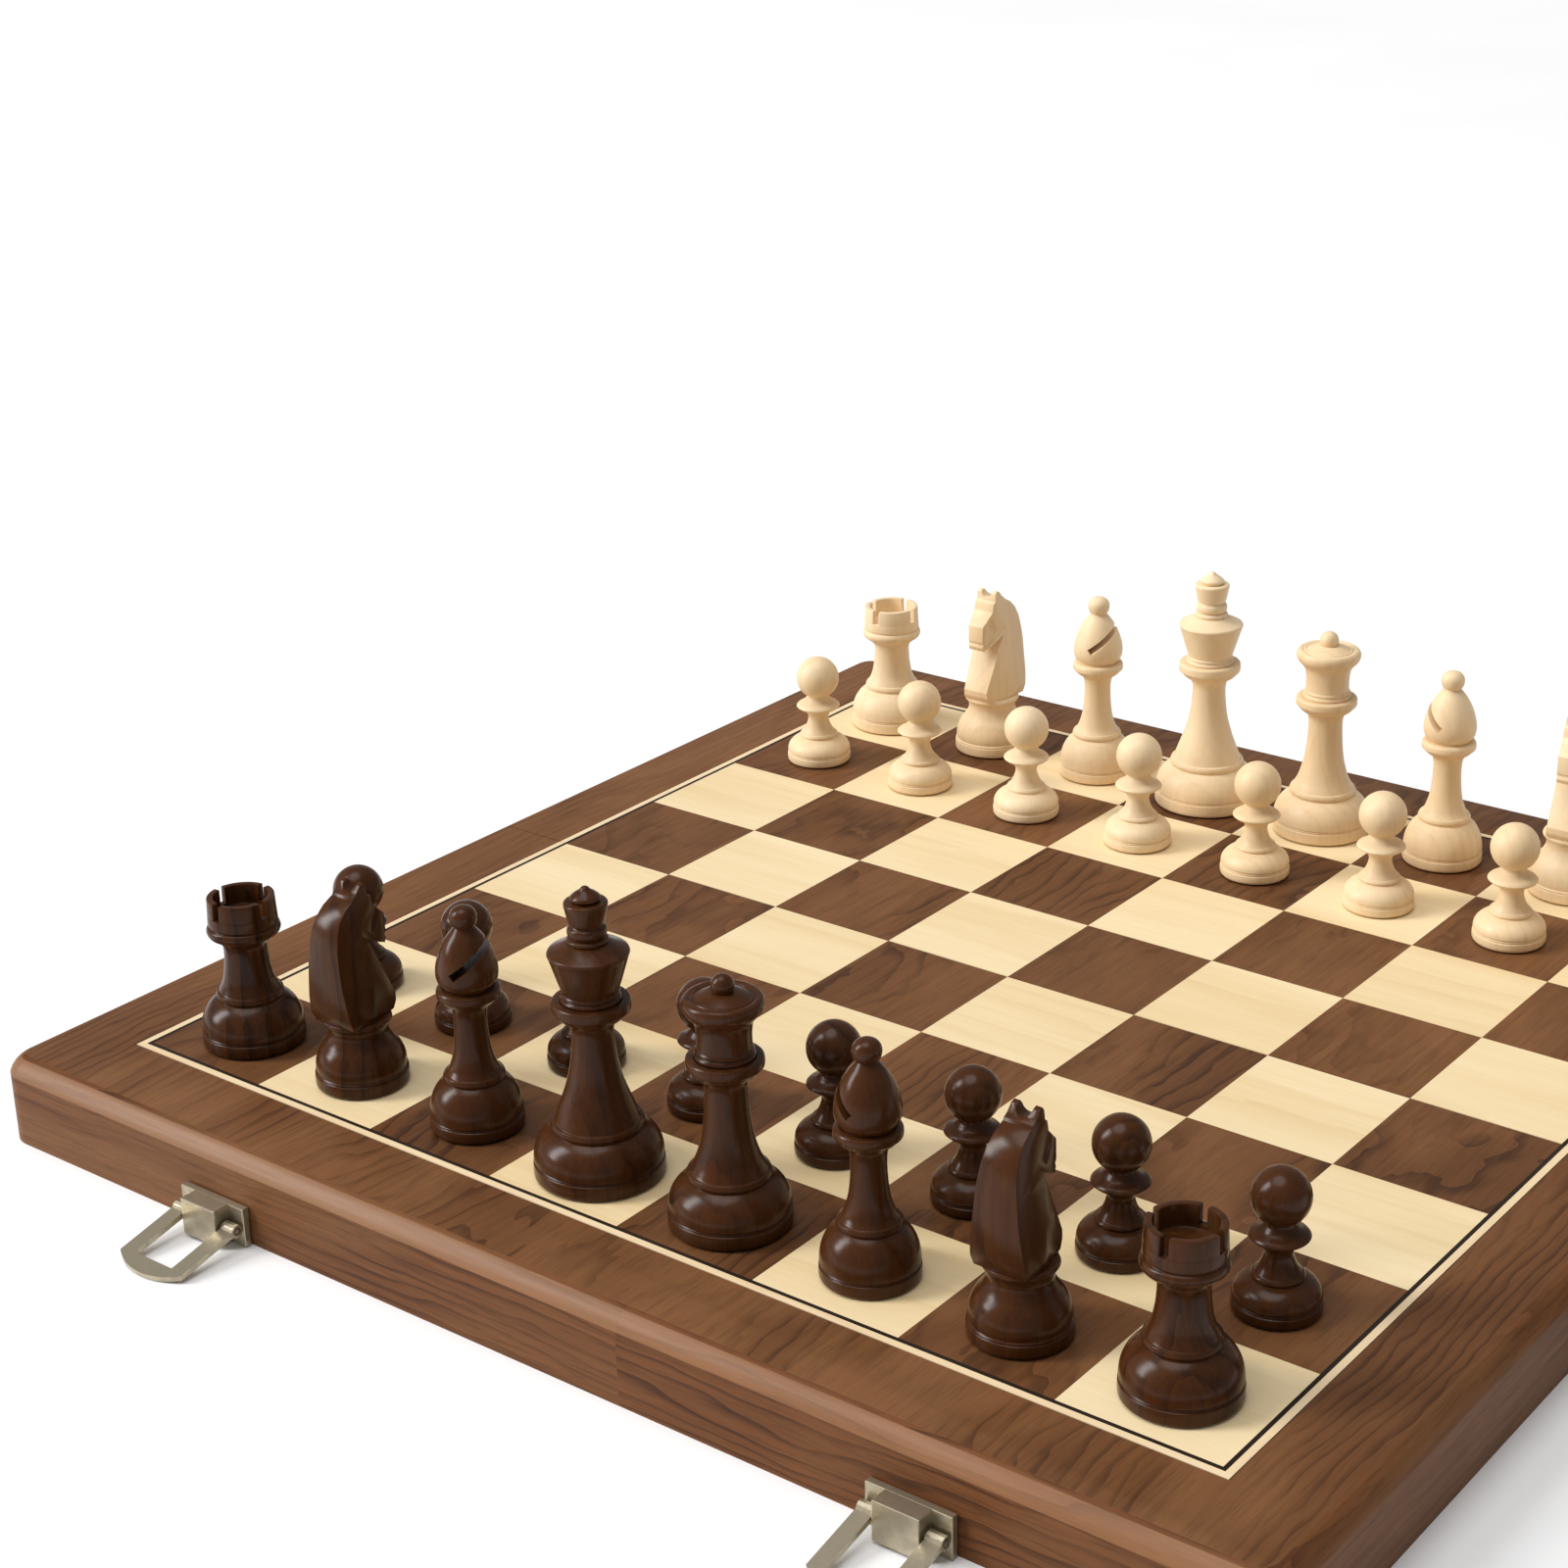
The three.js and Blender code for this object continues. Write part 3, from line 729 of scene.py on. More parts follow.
STEMS = {
    Kind.KING: [
        crisp(10.2, 14.5), soft(9.2, 17.4), soft(7.34, 22.5), soft(5.95, 27.7), soft(5.2, 33),
        soft(5.0, 37.4), soft(5.4, 39.3), crisp(5.9, 40.3), soft(7.5, 41.2), crisp(9.0, 42.8),
        soft(9.3, 43.2), soft(9.3, 45.0), crisp(9.0, 45.5), crisp(7.5, 45.6), crisp(7.0, 45.4),
        soft(7.25, 46.0), crisp(6.9, 46.5), crisp(6.6, 46.7), soft(6.95, 47.2), crisp(6.6, 47.8),
        crisp(6.8, 48.2), soft(7.7, 51), soft(9.2, 56), crisp(9.7, 57.4), crisp(9.5, 57.9),
        soft(7.4, 58.9), crisp(5.2, 60.0), crisp(4.6, 60.1), soft(4.9, 60.5), soft(4.85, 61.1),
        crisp(4.2, 61.5), crisp(3.9, 61.7), soft(4.6, 62.3), soft(4.6, 63.7), crisp(3.9, 64.4),
        crisp(3.7, 64.7), crisp(4.3, 65.1), crisp(5.15, 69.4), crisp(5.2, 69.9), crisp(4.9, 70.3),
        crisp(2.9, 70.3), soft(3.5, 70.9), soft(3.5, 71.5), soft(2.6, 72.3), soft(1.4, 73.1),
        soft(0.75, 73.8), crisp(0, 74.1),
    ],
    Kind.QUEEN: [
        crisp(9.1, 14.1), soft(7.4, 17.5), soft(6.0, 22.6), soft(5.35, 27.6), soft(5.05, 33),
        soft(5.1, 35.6), soft(5.5, 37), crisp(6.0, 37.9), soft(7.5, 38.8), crisp(8.7, 40.2),
        soft(9.0, 40.6), soft(9.0, 42.1), crisp(8.7, 42.6), crisp(7.4, 42.8), crisp(6.9, 42.6),
        soft(7.15, 43.2), crisp(6.8, 43.8), crisp(6.5, 44), soft(6.8, 44.5), crisp(6.4, 45.1),
        soft(6.35, 48), soft(6.7, 51), soft(7.5, 52.6), crisp(8.3, 53.4), soft(9.2, 54.6),
        soft(9.45, 56.0), soft(9.0, 57.1), crisp(8.2, 57.5), crisp(7.2, 57.2), soft(6.9, 57.5),
        crisp(6.6, 57.3), soft(5, 58), soft(3.6, 58.5), crisp(2.2, 58.7), *ball(2.75, 60.1, 42),
    ],
    Kind.BISHOP: [
        crisp(6.9, 14.9), soft(5.8, 16.6), soft(4.7, 20.4), soft(4.15, 25.6), soft(4.1, 30),
        soft(4.5, 32.2), crisp(5.0, 33.1), soft(6.2, 33.9), crisp(7.5, 35.2), soft(7.8, 35.6),
        soft(7.8, 36.8), crisp(7.5, 37.4), crisp(6.5, 37.8), crisp(6.0, 37.6), crisp(6.1, 38.0),
        soft(7.2, 39.4), soft(7.6, 41.5), soft(7.3, 44.2), soft(6.2, 47.6), soft(4.6, 50.6),
        soft(3.2, 52.4), crisp(2.4, 53.4), soft(3.0, 54.1), soft(3.35, 55.5), soft(3.2, 56.8),
        soft(2.4, 57.9), soft(1.2, 58.5), crisp(0, 58.6),
    ],
    Kind.ROOK: [
        crisp(7.9, 14.8), soft(6.75, 17.3), soft(6.15, 19.8), soft(5.75, 23), soft(5.65, 26.4),
        soft(6.1, 28.4), crisp(7.4, 29.5), crisp(7.8, 29.9), soft(9.0, 30.7), soft(9.45, 31.8),
        soft(9.2, 32.8), crisp(8.6, 33.3), crisp(8.95, 33.8), crisp(8.8, 36.5), crisp(6.9, 36.5),
        crisp(6.9, 35.6), crisp(5.6, 35.3), crisp(0, 35.2),
    ],
    Kind.PAWN: [
        crisp(5.3, 9.6), soft(4.1, 11.4), soft(3.3, 13.8), soft(3.4, 15.4), soft(4.3, 16.7),
        crisp(6.2, 17.7), soft(6.9, 18.4), crisp(6.4, 19.1), soft(4.8, 20), crisp(3.6, 21.2),
        crisp(3.4, 21.9), *ball(6.75, 27.75, 58),
    ],
    Kind.KNIGHT: [
        crisp(11.3, 4.3), soft(11.4, 5.8), soft(11.05, 7.7), soft(10.0, 10.0), soft(8.5, 12.0),
        soft(7.6, 13.8), soft(7.4, 15.0), soft(7.7, 16.3), crisp(8.3, 17.1), soft(8.6, 17.6),
        crisp(8.4, 18.2), crisp(8.0, 18.4), crisp(0, 18.6),
    ],
}


def turned(kind: Kind) -> bmesh.types.BMesh:
    """Turns what the lathe makes of one kind of man: the whole of him, or a knight's foot.

    Args:
        kind: What he is.

    Returns:
        The turned shape.
    """
    drum = DRUMS[kind]
    dome = DOMES[kind].turns(drum) if kind in DOMES else []
    return spun(flowing([*drum.turns(), *dome, *STEMS[kind]]))


# ---------------------------------------------------------------- chessmen


@dataclass
class Knight:
    """A knight's carved head, which looks along +Y. In millimetres.

    The notch between the ears is given by its radius and its place on Y and Z.
    """

    outline: tuple[tuple[float, float], ...] = (
        (7.8, 18.4), (9.2, 20.0), (9.5, 22.0), (1.0, 39.9), (8.7, 35.7), (9.3, 37.0), (8.8, 37.9),
        (9.4, 38.8), (9.2, 43.7), (4.9, 47.8), (4.4, 50.4), (3.4, 51.0), (3.2, 53.4), (2.5, 54.3),
        (1.3, 53.9), (0.0, 52.3), (-1.2, 51.5), (-1.5, 50.8), (-2.1, 50.7), (-4.7, 49.2), (-6.9, 46.9),
        (-8.4, 43.8), (-9.2, 40.0), (-9.6, 35.5), (-9.6, 30.0), (-9.4, 25.6), (-8.9, 21.8), (-7.9, 18.4),
    )
    widths: tuple[tuple[float, float], ...] = (
        (18.4, 6.8), (20.6, 7.2), (24.5, 6.8), (30.3, 6.0), (36.4, 5.4), (45.2, 4.4), (51.6, 3.6), (56, 3.4),
    )
    cheek: tuple[float, float] = (4.5, 2.7)
    jaw: float = 35.5
    jaw_slope: float = 0.62
    chest: tuple[float, float, float] = (4.5, 9.1, 20.5)
    chest_facing: tuple[float, float, float] = (0.965, 0.25, 0.071)
    notch: tuple[float, float, float] = (2.0, 1.5, 53.9)
    eye: tuple[float, float, float] = (3.8, 5.4, 43.6)
    eye_size: tuple[float, float, float] = (1.0, 1.4, 3.9)
    eye_lean: float = -24

    def half_width(self, height: float) -> float:
        """Gives half the head's width at a height.

        Args:
            height: Height above the table, in millimetres.

        Returns:
            Half the width, in millimetres.
        """
        for (low, narrow), (high, wide) in zip(self.widths, self.widths[1:]):
            if height <= high:
                share = max(0.0, (height - low) / (high - low))
                return narrow + (wide - narrow) * share
        return self.widths[-1][1]

    def build(self) -> bmesh.types.BMesh:
        """Carves the head and sets it on its foot.

        Returns:
            The whole man.
        """
        head = bmesh.new()
        verts = [head.verts.new((-MM, y * MM, z * MM)) for y, z in self.outline]
        face = head.faces.new(verts)
        grown = bmesh.ops.extrude_face_region(head, geom=[face])["geom"]
        far = [item for item in grown if isinstance(item, bmesh.types.BMVert)]
        bmesh.ops.translate(head, verts=far, vec=(2 * MM, 0, 0))
        for height, _ in self.widths[1:-1]:
            parts = [*head.verts, *head.edges, *head.faces]
            bmesh.ops.bisect_plane(head, geom=parts, plane_co=(0, 0, height * MM), plane_no=(0, 0, 1))
        for vert in head.verts:
            vert.co.x *= self.half_width(vert.co.z / MM)
        heal(head)
        ease(head, self._back_edges(head), 0.5 * MM, 2)
        head = carved(head, [*self._cheek_cutters(), self._ear_cutter(), *self._eye_cutters()])
        self._facet_chest(head)
        heal(head, 2e-6)
        ease(head, sharp_edges(head, 30), 0.16 * MM, 2)
        join(head, turned(Kind.KNIGHT))
        return head

    def _facet_chest(self, head: bmesh.types.BMesh) -> None:
        """Planes a slanting flat on each side of the chest.

        Args:
            head: The carved head.
        """
        x, y, z = (value * MM for value in self.chest)
        for side in (-1, 1):
            parts = [*head.verts, *head.edges, *head.faces]
            facing = (side * self.chest_facing[0], *self.chest_facing[1:])
            cut = bmesh.ops.bisect_plane(head, geom=parts, plane_co=(side * x, y, z), plane_no=facing,
                                         clear_outer=True)
            rim = [item for item in cut["geom_cut"] if isinstance(item, bmesh.types.BMEdge)]
            bmesh.ops.edgeloop_fill(head, edges=rim)

    def _back_edges(self, head: bmesh.types.BMesh) -> list[bmesh.types.BMEdge]:
        """Finds the long edges down both sides of the back.

        Args:
            head: The head, not carved yet.

        Returns:
            The edges.
        """
        chosen = []
        for edge in head.edges:
            a, b = (vert.co for vert in edge.verts)
            behind = max(a.y, b.y) < -1.5 * MM
            lengthwise = a.x * b.x > 0 and abs(a.z - b.z) > 0.2 * MM
            if behind and lengthwise and min(a.z, b.z) > 18 * MM:
                chosen.append(edge)
        return chosen

    def _cheek_cutters(self) -> list[bmesh.types.BMesh]:
        """Shapes what is cut off both cheeks, which narrow towards the nose above the line of the jaw.

        Returns:
            The two cutters.
        """
        rear, nose = self.cheek
        cutters = []
        for side in (-1, 1):
            tool = bmesh.new()
            block(tool, (-MM, -0.3 * MM, -MM), (MM, 12 * MM, MM))
            for vert in tool.verts:
                y = vert.co.y / MM
                inner = rear + (nose - rear) * y / 9
                vert.co.x = side * (inner if vert.co.x < 0 else 9) * MM
                vert.co.z = (60 if vert.co.z > 0 else self.jaw + self.jaw_slope * (8.8 - y)) * MM
            if side < 0:
                bmesh.ops.reverse_faces(tool, faces=tool.faces)
            cutters.append(tool)
        return cutters

    def _ear_cutter(self) -> bmesh.types.BMesh:
        """Shapes the round notch that parts the two ears.

        Returns:
            The cutter.
        """
        radius, y, z = (value * MM for value in self.notch)
        tool = bmesh.new()
        turn = Matrix.Rotation(math.radians(90), 4, "X")
        bmesh.ops.create_cone(tool, cap_ends=True, segments=24, radius1=radius, radius2=radius,
                              depth=12 * MM, matrix=Matrix.Translation((0, y, z)) @ turn)
        return tool

    def _eye_cutters(self) -> list[bmesh.types.BMesh]:
        """Shapes the slanting almond groove of each eye.

        Returns:
            The two cutters.
        """
        x, y, z = (value * MM for value in self.eye)
        lean = Matrix.Rotation(math.radians(self.eye_lean), 4, "X")
        size = Matrix.Diagonal((*self.eye_size, 1))
        cutters = []
        for side in (-1, 1):
            tool = bmesh.new()
            place = Matrix.Translation((side * x, y, z))
            bmesh.ops.create_icosphere(tool, subdivisions=2, radius=MM, matrix=place @ lean @ size)
            cutters.append(tool)
        return cutters


@dataclass
class Bishop:
    """A bishop, turned and then sawn across the mitre. In millimetres."""

    saw: float = 1.9
    lean: float = 53
    depth: float = 3.5
    level: float = 42.6

    def build(self) -> bmesh.types.BMesh:
        """Turns the man and saws the slot, which opens towards +X.

        Returns:
            The whole man.
        """
        tool = bmesh.new()
        verts = block(tool, (-self.saw / 2 * MM, -12 * MM, 0), (self.saw / 2 * MM, 12 * MM, 18 * MM))
        lean = Matrix.Rotation(math.radians(self.lean), 3, "Y")
        bmesh.ops.rotate(tool, verts=verts, cent=(0, 0, 0), matrix=lean)
        bmesh.ops.translate(tool, verts=verts, vec=(-self.depth * MM, 0, self.level * MM))
        return carved(turned(Kind.BISHOP), [tool])


@dataclass
class Rook:
    """A rook: a turned tower with four separate battlements. In millimetres."""

    slot: float = 2.1
    inner: float = 6.9
    outer: float = 8.8
    top_outer: float = 8.62
    low: float = 36.5
    high: float = 40.9

    def build(self) -> bmesh.types.BMesh:
        """Turns the tower and sets the battlements on it.

        Returns:
            The whole man.
        """
        man = turned(Kind.ROOK)
        for quarter in range(4):
            join(man, self._battlement(quarter))
        return man

    def _battlement(self, quarter: int) -> bmesh.types.BMesh:
        """Makes one battlement, with its upper edges eased.

        Args:
            quarter: Its place round the top, from 0 to 3.

        Returns:
            The battlement.
        """
        gap = self.slot / self.outer
        wall = bmesh.new()
        section = ((self.inner, self.low), (self.outer, self.low), (self.top_outer, self.high),
                   (self.inner, self.high))
        verts = [wall.verts.new((radius * MM, 0, height * MM)) for radius, height in section]
        face = wall.faces.new(verts)
        start = Matrix.Rotation(gap / 2 + quarter * math.pi / 2, 3, "Z")
        bmesh.ops.rotate(wall, verts=verts, cent=(0, 0, 0), matrix=start)
        bmesh.ops.spin(wall, geom=[face, *face.edges, *verts], cent=(0, 0, 0), axis=(0, 0, 1),
                       dvec=(0, 0, 0), angle=math.pi / 2 - gap, steps=16)
        heal(wall)
        top = self.high * MM - 1e-6
        rim = [edge for edge in sharp_edges(wall, 50) if max(vert.co.z for vert in edge.verts) > top]
        ease(wall, rim, 0.28 * MM, 2)
        return wall


@dataclass
class Army:
    """All the chessmen of one colour, with their felt."""

    side: Side
    slot: str
    shapes: dict[Kind, bpy.types.Mesh]
    saw_turns: dict[str, float]

    def build(self, wood: bpy.types.Material, felt: bpy.types.Material) -> None:
        """Makes every man of this colour.

        Args:
            wood: The lacquered wood.
            felt: The cloth under the feet.
        """
        for node in sorted(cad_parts):
            words = node.split("_")
            kinds = [kind for kind in Kind if kind.value in words]
            if kinds and self.side.value in words:
                self._man(node, kinds[0], wood, felt)

    def _man(self, node: str, kind: Kind, wood: bpy.types.Material, felt: bpy.types.Material) -> None:
        """Makes one man where its node stands.

        Args:
            node: The man's node.
            kind: What he is.
            wood: The lacquered wood.
            felt: The cloth under his foot.
        """
        low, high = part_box(node)
        place = Vector(((low.x + high.x) / 2, (low.y + high.y) / 2, low.z))
        turn = math.radians(self.saw_turns.get(node, 0.0))
        if kind is Kind.KNIGHT and self.side is Side.LIGHT:
            turn += math.pi
        matrix = Matrix.Translation(place) @ Matrix.Rotation(turn, 4, "Z")
        bm = bmesh.new()
        bm.from_mesh(self.shapes[kind])
        bmesh.ops.transform(bm, matrix=matrix, verts=bm.verts)
        body = f"{node}_man"
        settle(piece(f"{node}_turned", bm, [wood], crease=42), body, self.slot, node)
        self._felt(node, kind, matrix, felt, body)

    def _felt(self, node: str, kind: Kind, matrix: Matrix, felt: bpy.types.Material, body: str) -> None:
        """Glues a felt disc under a man.

        Args:
            node: The man's node.
            kind: What he is.
            matrix: Where he stands.
            felt: The cloth.
            body: The body that he is.
        """
        drum = DRUMS[kind]
        edge = drum.radius - 1.3
        outline = [crisp(0, 0), crisp(edge, 0), crisp(edge + 0.1, drum.felt), crisp(0, drum.felt)]
        disc = spun(flowing(outline), 48)
        bmesh.ops.transform(disc, matrix=matrix, verts=disc.verts)
        settle(piece(f"{node}_felt", disc, [felt]), body, "base_felt")


def shape_library() -> dict[Kind, bpy.types.Mesh]:
    """Makes one mesh for each kind of chessman, standing at the origin.

    Returns:
        The meshes.
    """
    carvers = {Kind.KNIGHT: Knight(), Kind.BISHOP: Bishop(), Kind.ROOK: Rook()}
    library = {}
    for kind in Kind:
        bm = carvers[kind].build() if kind in carvers else turned(kind)
        library[kind] = bpy.data.meshes.new(kind.value)
        bm.to_mesh(library[kind])
        bm.free()
    return library


@dataclass
class Draughtsmen:
    """A pile of six draughtsmen. In millimetres."""

    node: str
    body: str
    slot: str
    count: int = 6
    radius: float = 15.0
    face: tuple[tuple[float, float], ...] = (
        (0, 0.5), (9, 0.5), (9.6, 0.9), (10.2, 0.5), (12.4, 0.5), (13, 0.02), (13.8, 0.0),
    )

    def build(self, wood: bpy.types.Material) -> None:
        """Makes the pile where its node stands.

        Args:
            wood: The lacquered wood.
        """
        low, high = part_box(self.node)
        height = (high.z - low.z) / MM / self.count
        centre = Vector(((low.x + high.x) / 2, (low.y + high.y) / 2, low.z))
        pile = bmesh.new()
        for layer in range(self.count):
            disc = spun(flowing(self._outline(height)), 64)
            shift = Matrix.Translation(centre + Vector((0, 0, layer * height * MM)))
            bmesh.ops.transform(disc, matrix=shift, verts=disc.verts)
            join(pile, disc)
        settle(piece(f"{self.node}_turned", pile, [wood]), self.body, self.slot, self.node)

    def _outline(self, height: float) -> list[Turn]:
        """Draws one draughtsman, with a ringed face above and below and a grooved rim.

        Args:
            height: The room that he takes in the pile, in millimetres.

        Returns:
            His outline.
        """
        r, h = self.radius, height - 0.02
        under = [crisp(radius, depth) for radius, depth in self.face]
        over = [crisp(radius, h - depth) for radius, depth in reversed(self.face)]
        rim = [soft(r - 0.15, 0.9), crisp(r, 2.2), crisp(r - 0.35, 2.5), crisp(r, 2.8), crisp(r, h - 2.8),
               crisp(r - 0.35, h - 2.5), crisp(r, h - 2.2), soft(r - 0.15, h - 0.9)]
        return [*under, *rim, *over]


# ---------------------------------------------------------------- case


class Half(Enum):
    """The two halves of the case, by the word in their names."""

    FRONT = "front"
    REAR = "rear"

    @property
    def body(self) -> str:
        """The body that this half rides on."""
        return f"{self.value}_half"


@dataclass(frozen=True)
class BoardPlace:
    """Where the open board lies, in metres: its middle, its fold, its top, its rims and half its width."""

    centre: float
    seam: float
    top: float
    rim: float
    half: float

    @classmethod
    def read(cls) -> "BoardPlace":
        """Reads the place from the two frames."""
        front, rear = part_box("front_frame"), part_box("rear_frame")
        return cls(centre=(front[0].x + front[1].x) / 2, seam=(front[1].y + rear[0].y) / 2,
                   top=front[1].z, rim=front[0].z, half=(front[1].x - front[0].x) / 2)


def copied(node: str) -> bmesh.types.BMesh:
    """Gives a merged copy of a node's mesh with its flat faces joined.

    Args:
        node: The node.

    Returns:
        The copy.
    """
    bm = bmesh.new()
    bm.from_mesh(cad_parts[node].data)
    bmesh.ops.remove_doubles(bm, verts=bm.verts, dist=2e-6)
    bmesh.ops.dissolve_limit(bm, angle_limit=math.radians(0.6), verts=bm.verts, edges=bm.edges,
                             use_dissolve_boundaries=False, delimit=set())
    return bm


@dataclass
class Case:
    """One half of the case: its walnut frame and its flocked tray. In millimetres."""

    half: Half
    place: BoardPlace
    tray_round: float = 1.1
    rail: float = 13.0
    edge: float = 4.5
    flatness: float = 0.5

    def build(self, veneer: bpy.types.Material, rails: Sequence[bpy.types.Material],
              edges: Sequence[bpy.types.Material], flock: bpy.types.Material) -> None:
        """Makes both pieces.

        Args:
            veneer: Walnut veneer of the upper face.
            rails: Walnut of the rails along X and along Y.
            edges: Walnut of the rounded upper edge along X and along Y; the one along X is lightened by a
                painted highlight.
            flock: Cloth of the tray.
        """
        node = f"{self.half.value}_frame"
        bm = copied(node)
        for face in bm.faces:
            face.material_index = self._timber_of(face)
        self._flatten_edge(bm)
        walnut = piece(f"{node}_walnut", bm, [veneer, *rails, *edges], crease=24)
        settle(walnut, self.half.body, "walnut_case", node)
        tray = f"{self.half.value}_tray"
        bm = copied(tray)
        ease(bm, sharp_edges(bm), self.tray_round * MM, 3)
        settle(piece(f"{tray}_flocked", bm, [flock]), self.half.body, "flock_tray", tray)

    def _timber_of(self, face: bmesh.types.BMFace) -> int:
        """Chooses the veneer or one of the rails for a face, with mitres at the corners.

        Args:
            face: A face of the frame.

        Returns:
            The number of its material: the veneer, the rails along X and Y, or their rounded upper edges,
                whose finish along X holds a painted highlight.
        """
        middle = face.calc_center_median()
        if face.normal.z > 0.99 and middle.z > self.place.top - 0.1 * MM:
            return 0
        across = abs(middle.x - self.place.centre)
        along = abs(middle.y - self.place.seam)
        beside_fold = along < self.rail * MM and across < self.place.half - self.rail * MM
        rail = 1 if along >= across or beside_fold else 2
        return rail + 2 if 0.02 < face.normal.z < 0.98 else rail

    def _flatten_edge(self, bm: bmesh.types.BMesh) -> None:
        """Draws the rounded upper edge in to a soft chamfer.

        Args:
            bm: The frame.
        """
        reach = self.edge * MM
        low = self.place.top - reach
        for vert in bm.verts:
            rise = (vert.co.z - low) / reach
            if not 0.02 < rise < 0.98:
                continue
            inward = sum((face.normal for face in vert.link_faces), Vector()).normalized()
            inward.z = 0
            inward.normalize()
            angle = math.asin(min(1.0, rise))
            over = (math.sin(angle) + math.cos(angle) - 1) / 2 * reach * self.flatness
            vert.co -= inward * over
            vert.co.z -= over
        bmesh.ops.recalc_face_normals(bm, faces=bm.faces)


@dataclass
class PlayingField:
    """The veneered panel of one half: four ranks of squares in a dark and a pale line. In millimetres."""

    half: Half
    place: BoardPlace
    square: float = 40.0
    dark_line: float = 1.15
    pale_line: float = 1.85
    leaf: float = 0.6

    def build(self, light: bpy.types.Material, dark: bpy.types.Material,
              pale_line: Sequence[bpy.types.Material], dark_line: Sequence[bpy.types.Material],
              core: bpy.types.Material) -> None:
        """Makes the panel's core, its squares and its lines.

        Args:
            light: Veneer of the light squares.
            dark: Veneer of the dark squares.
            pale_line: Finishes of the pale line along X and along Y.
            dark_line: Finishes of the dark line along X and along Y.
            core: Finish of the core.
        """
        node = f"{self.half.value}_playing_panel"
        low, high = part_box(node)
        bm = bmesh.new()
        block(bm, low, high - Vector((0, 0, self.leaf * MM)))
        settle(piece(f"{self.half.value}_panel_core", bm, [core]), self.half.body, "playing_veneer", node)
        self._squares("light_squares", 1, light, Grain.ALONG_X, low, high)
        self._squares("dark_squares", 0, dark, Grain.ALONG_Y, low, high)
        reach = 4 * self.square
        between = reach + self.dark_line
        self._line("dark_line", reach, between, dark_line, low, high)
        self._line("pale_line", between, between + self.pale_line, pale_line, low, high)

    def _squares(self, name: str, parity: int, veneer: bpy.types.Material, grain: Grain, low: Vector,
                 high: Vector) -> None:
        """Lays the squares of one colour, each cut from its own part of the veneer.

        Args:
            name: Name of the piece.
            parity: 1 for the squares whose file and rank add up to an odd number, 0 for the others.
            veneer: Their finish.
            grain: Direction of their grain.
            low: Lowest corner of the panel.
            high: Highest corner of the panel.
        """
        reach = 4 * self.square * MM
        near, far = self._fold_edges(low, high)
        bm = bmesh.new()
        bmesh.ops.create_grid(bm, x_segments=8, y_segments=4, size=0.5)
        size = Matrix.Diagonal((2 * reach, far - near, 1, 1))
        place = Matrix.Translation((self.place.centre, (near + far) / 2, high.z))
        bmesh.ops.transform(bm, matrix=place @ size, verts=bm.verts)
        leaf = bm.faces.layers.float_vector.new("leaf")
        unwanted = []
        for face in bm.faces:
            middle = face.calc_center_median()
            file = int((middle.x - self.place.centre + reach) // (self.square * MM))
            rank = int((middle.y - self.place.seam + reach) // (self.square * MM))
            if (file + rank) % 2 != parity:
                unwanted.append(face)
            offset = [-middle.x, -middle.y, 0.0]
            for axis, (a, b) in enumerate(((12.99, 78.23), (39.35, 11.14), (7.31, 3.97))):
                cast = math.sin(file * a + rank * b) * 4375.85 % 1
                offset[axis] += (cast - 0.5) * (1.6 if axis == grain.value else 0.07)
            face[leaf] = offset
        bmesh.ops.delete(bm, geom=unwanted, context="FACES")
        bmesh.ops.split_edges(bm, edges=bm.edges)
        grown = bmesh.ops.extrude_face_region(bm, geom=list(bm.faces), use_keep_orig=True)["geom"]
        lower = [item for item in grown if isinstance(item, bmesh.types.BMVert)]
        bmesh.ops.translate(bm, verts=lower, vec=(0, 0, -self.leaf * MM))
        bmesh.ops.recalc_face_normals(bm, faces=bm.faces)
        settle(piece(f"{self.half.value}_{name}", bm, [veneer]), self.half.body, "playing_veneer")

    def _fold_edges(self, low: Vector, high: Vector) -> tuple[float, float]:
        """Finds the two ends of the squares on this half.

        Args:
            low: Lowest corner of the panel.
            high: Highest corner of the panel.

        Returns:
            Their lowest and highest Y.
        """
        reach = 4 * self.square * MM
        if self.half is Half.FRONT:
            return self.place.seam - reach, high.y
        return low.y, self.place.seam + reach

    def _line(self, name: str, inner: float, outer: float, finishes: Sequence[bpy.types.Material],
              low: Vector, high: Vector) -> None:
        """Lays one inlaid line round three sides.

        Args:
            name: Name of the piece.
            inner: Reach of its inner edge from the middle of the board, in millimetres.
            outer: Reach of its outer edge.
            finishes: Its finishes along X and along Y.
            low: Lowest corner of the panel.
            high: Highest corner of the panel.
        """
        sign = -1 if self.half is Half.FRONT else 1
        fold = high.y if self.half is Half.FRONT else low.y
        cx, seam = self.place.centre, self.place.seam
        z0, z1 = high.z - self.leaf * MM, high.z
        bm = bmesh.new()
        ends = sorted((seam + sign * inner * MM, seam + sign * outer * MM))
        block(bm, (cx - outer * MM, ends[0], z0), (cx + outer * MM, ends[1], z1))
        along = sorted((fold, seam + sign * inner * MM))
        for side in (-1, 1):
            across = sorted((cx + side * inner * MM, cx + side * outer * MM))
            block(bm, (across[0], along[0], z0), (across[1], along[1], z1))
        for face in bm.faces:
            face.material_index = int(abs(face.calc_center_median().x - cx) > inner * MM)
        settle(piece(f"{self.half.value}_{name}", bm, finishes), self.half.body, "playing_veneer")


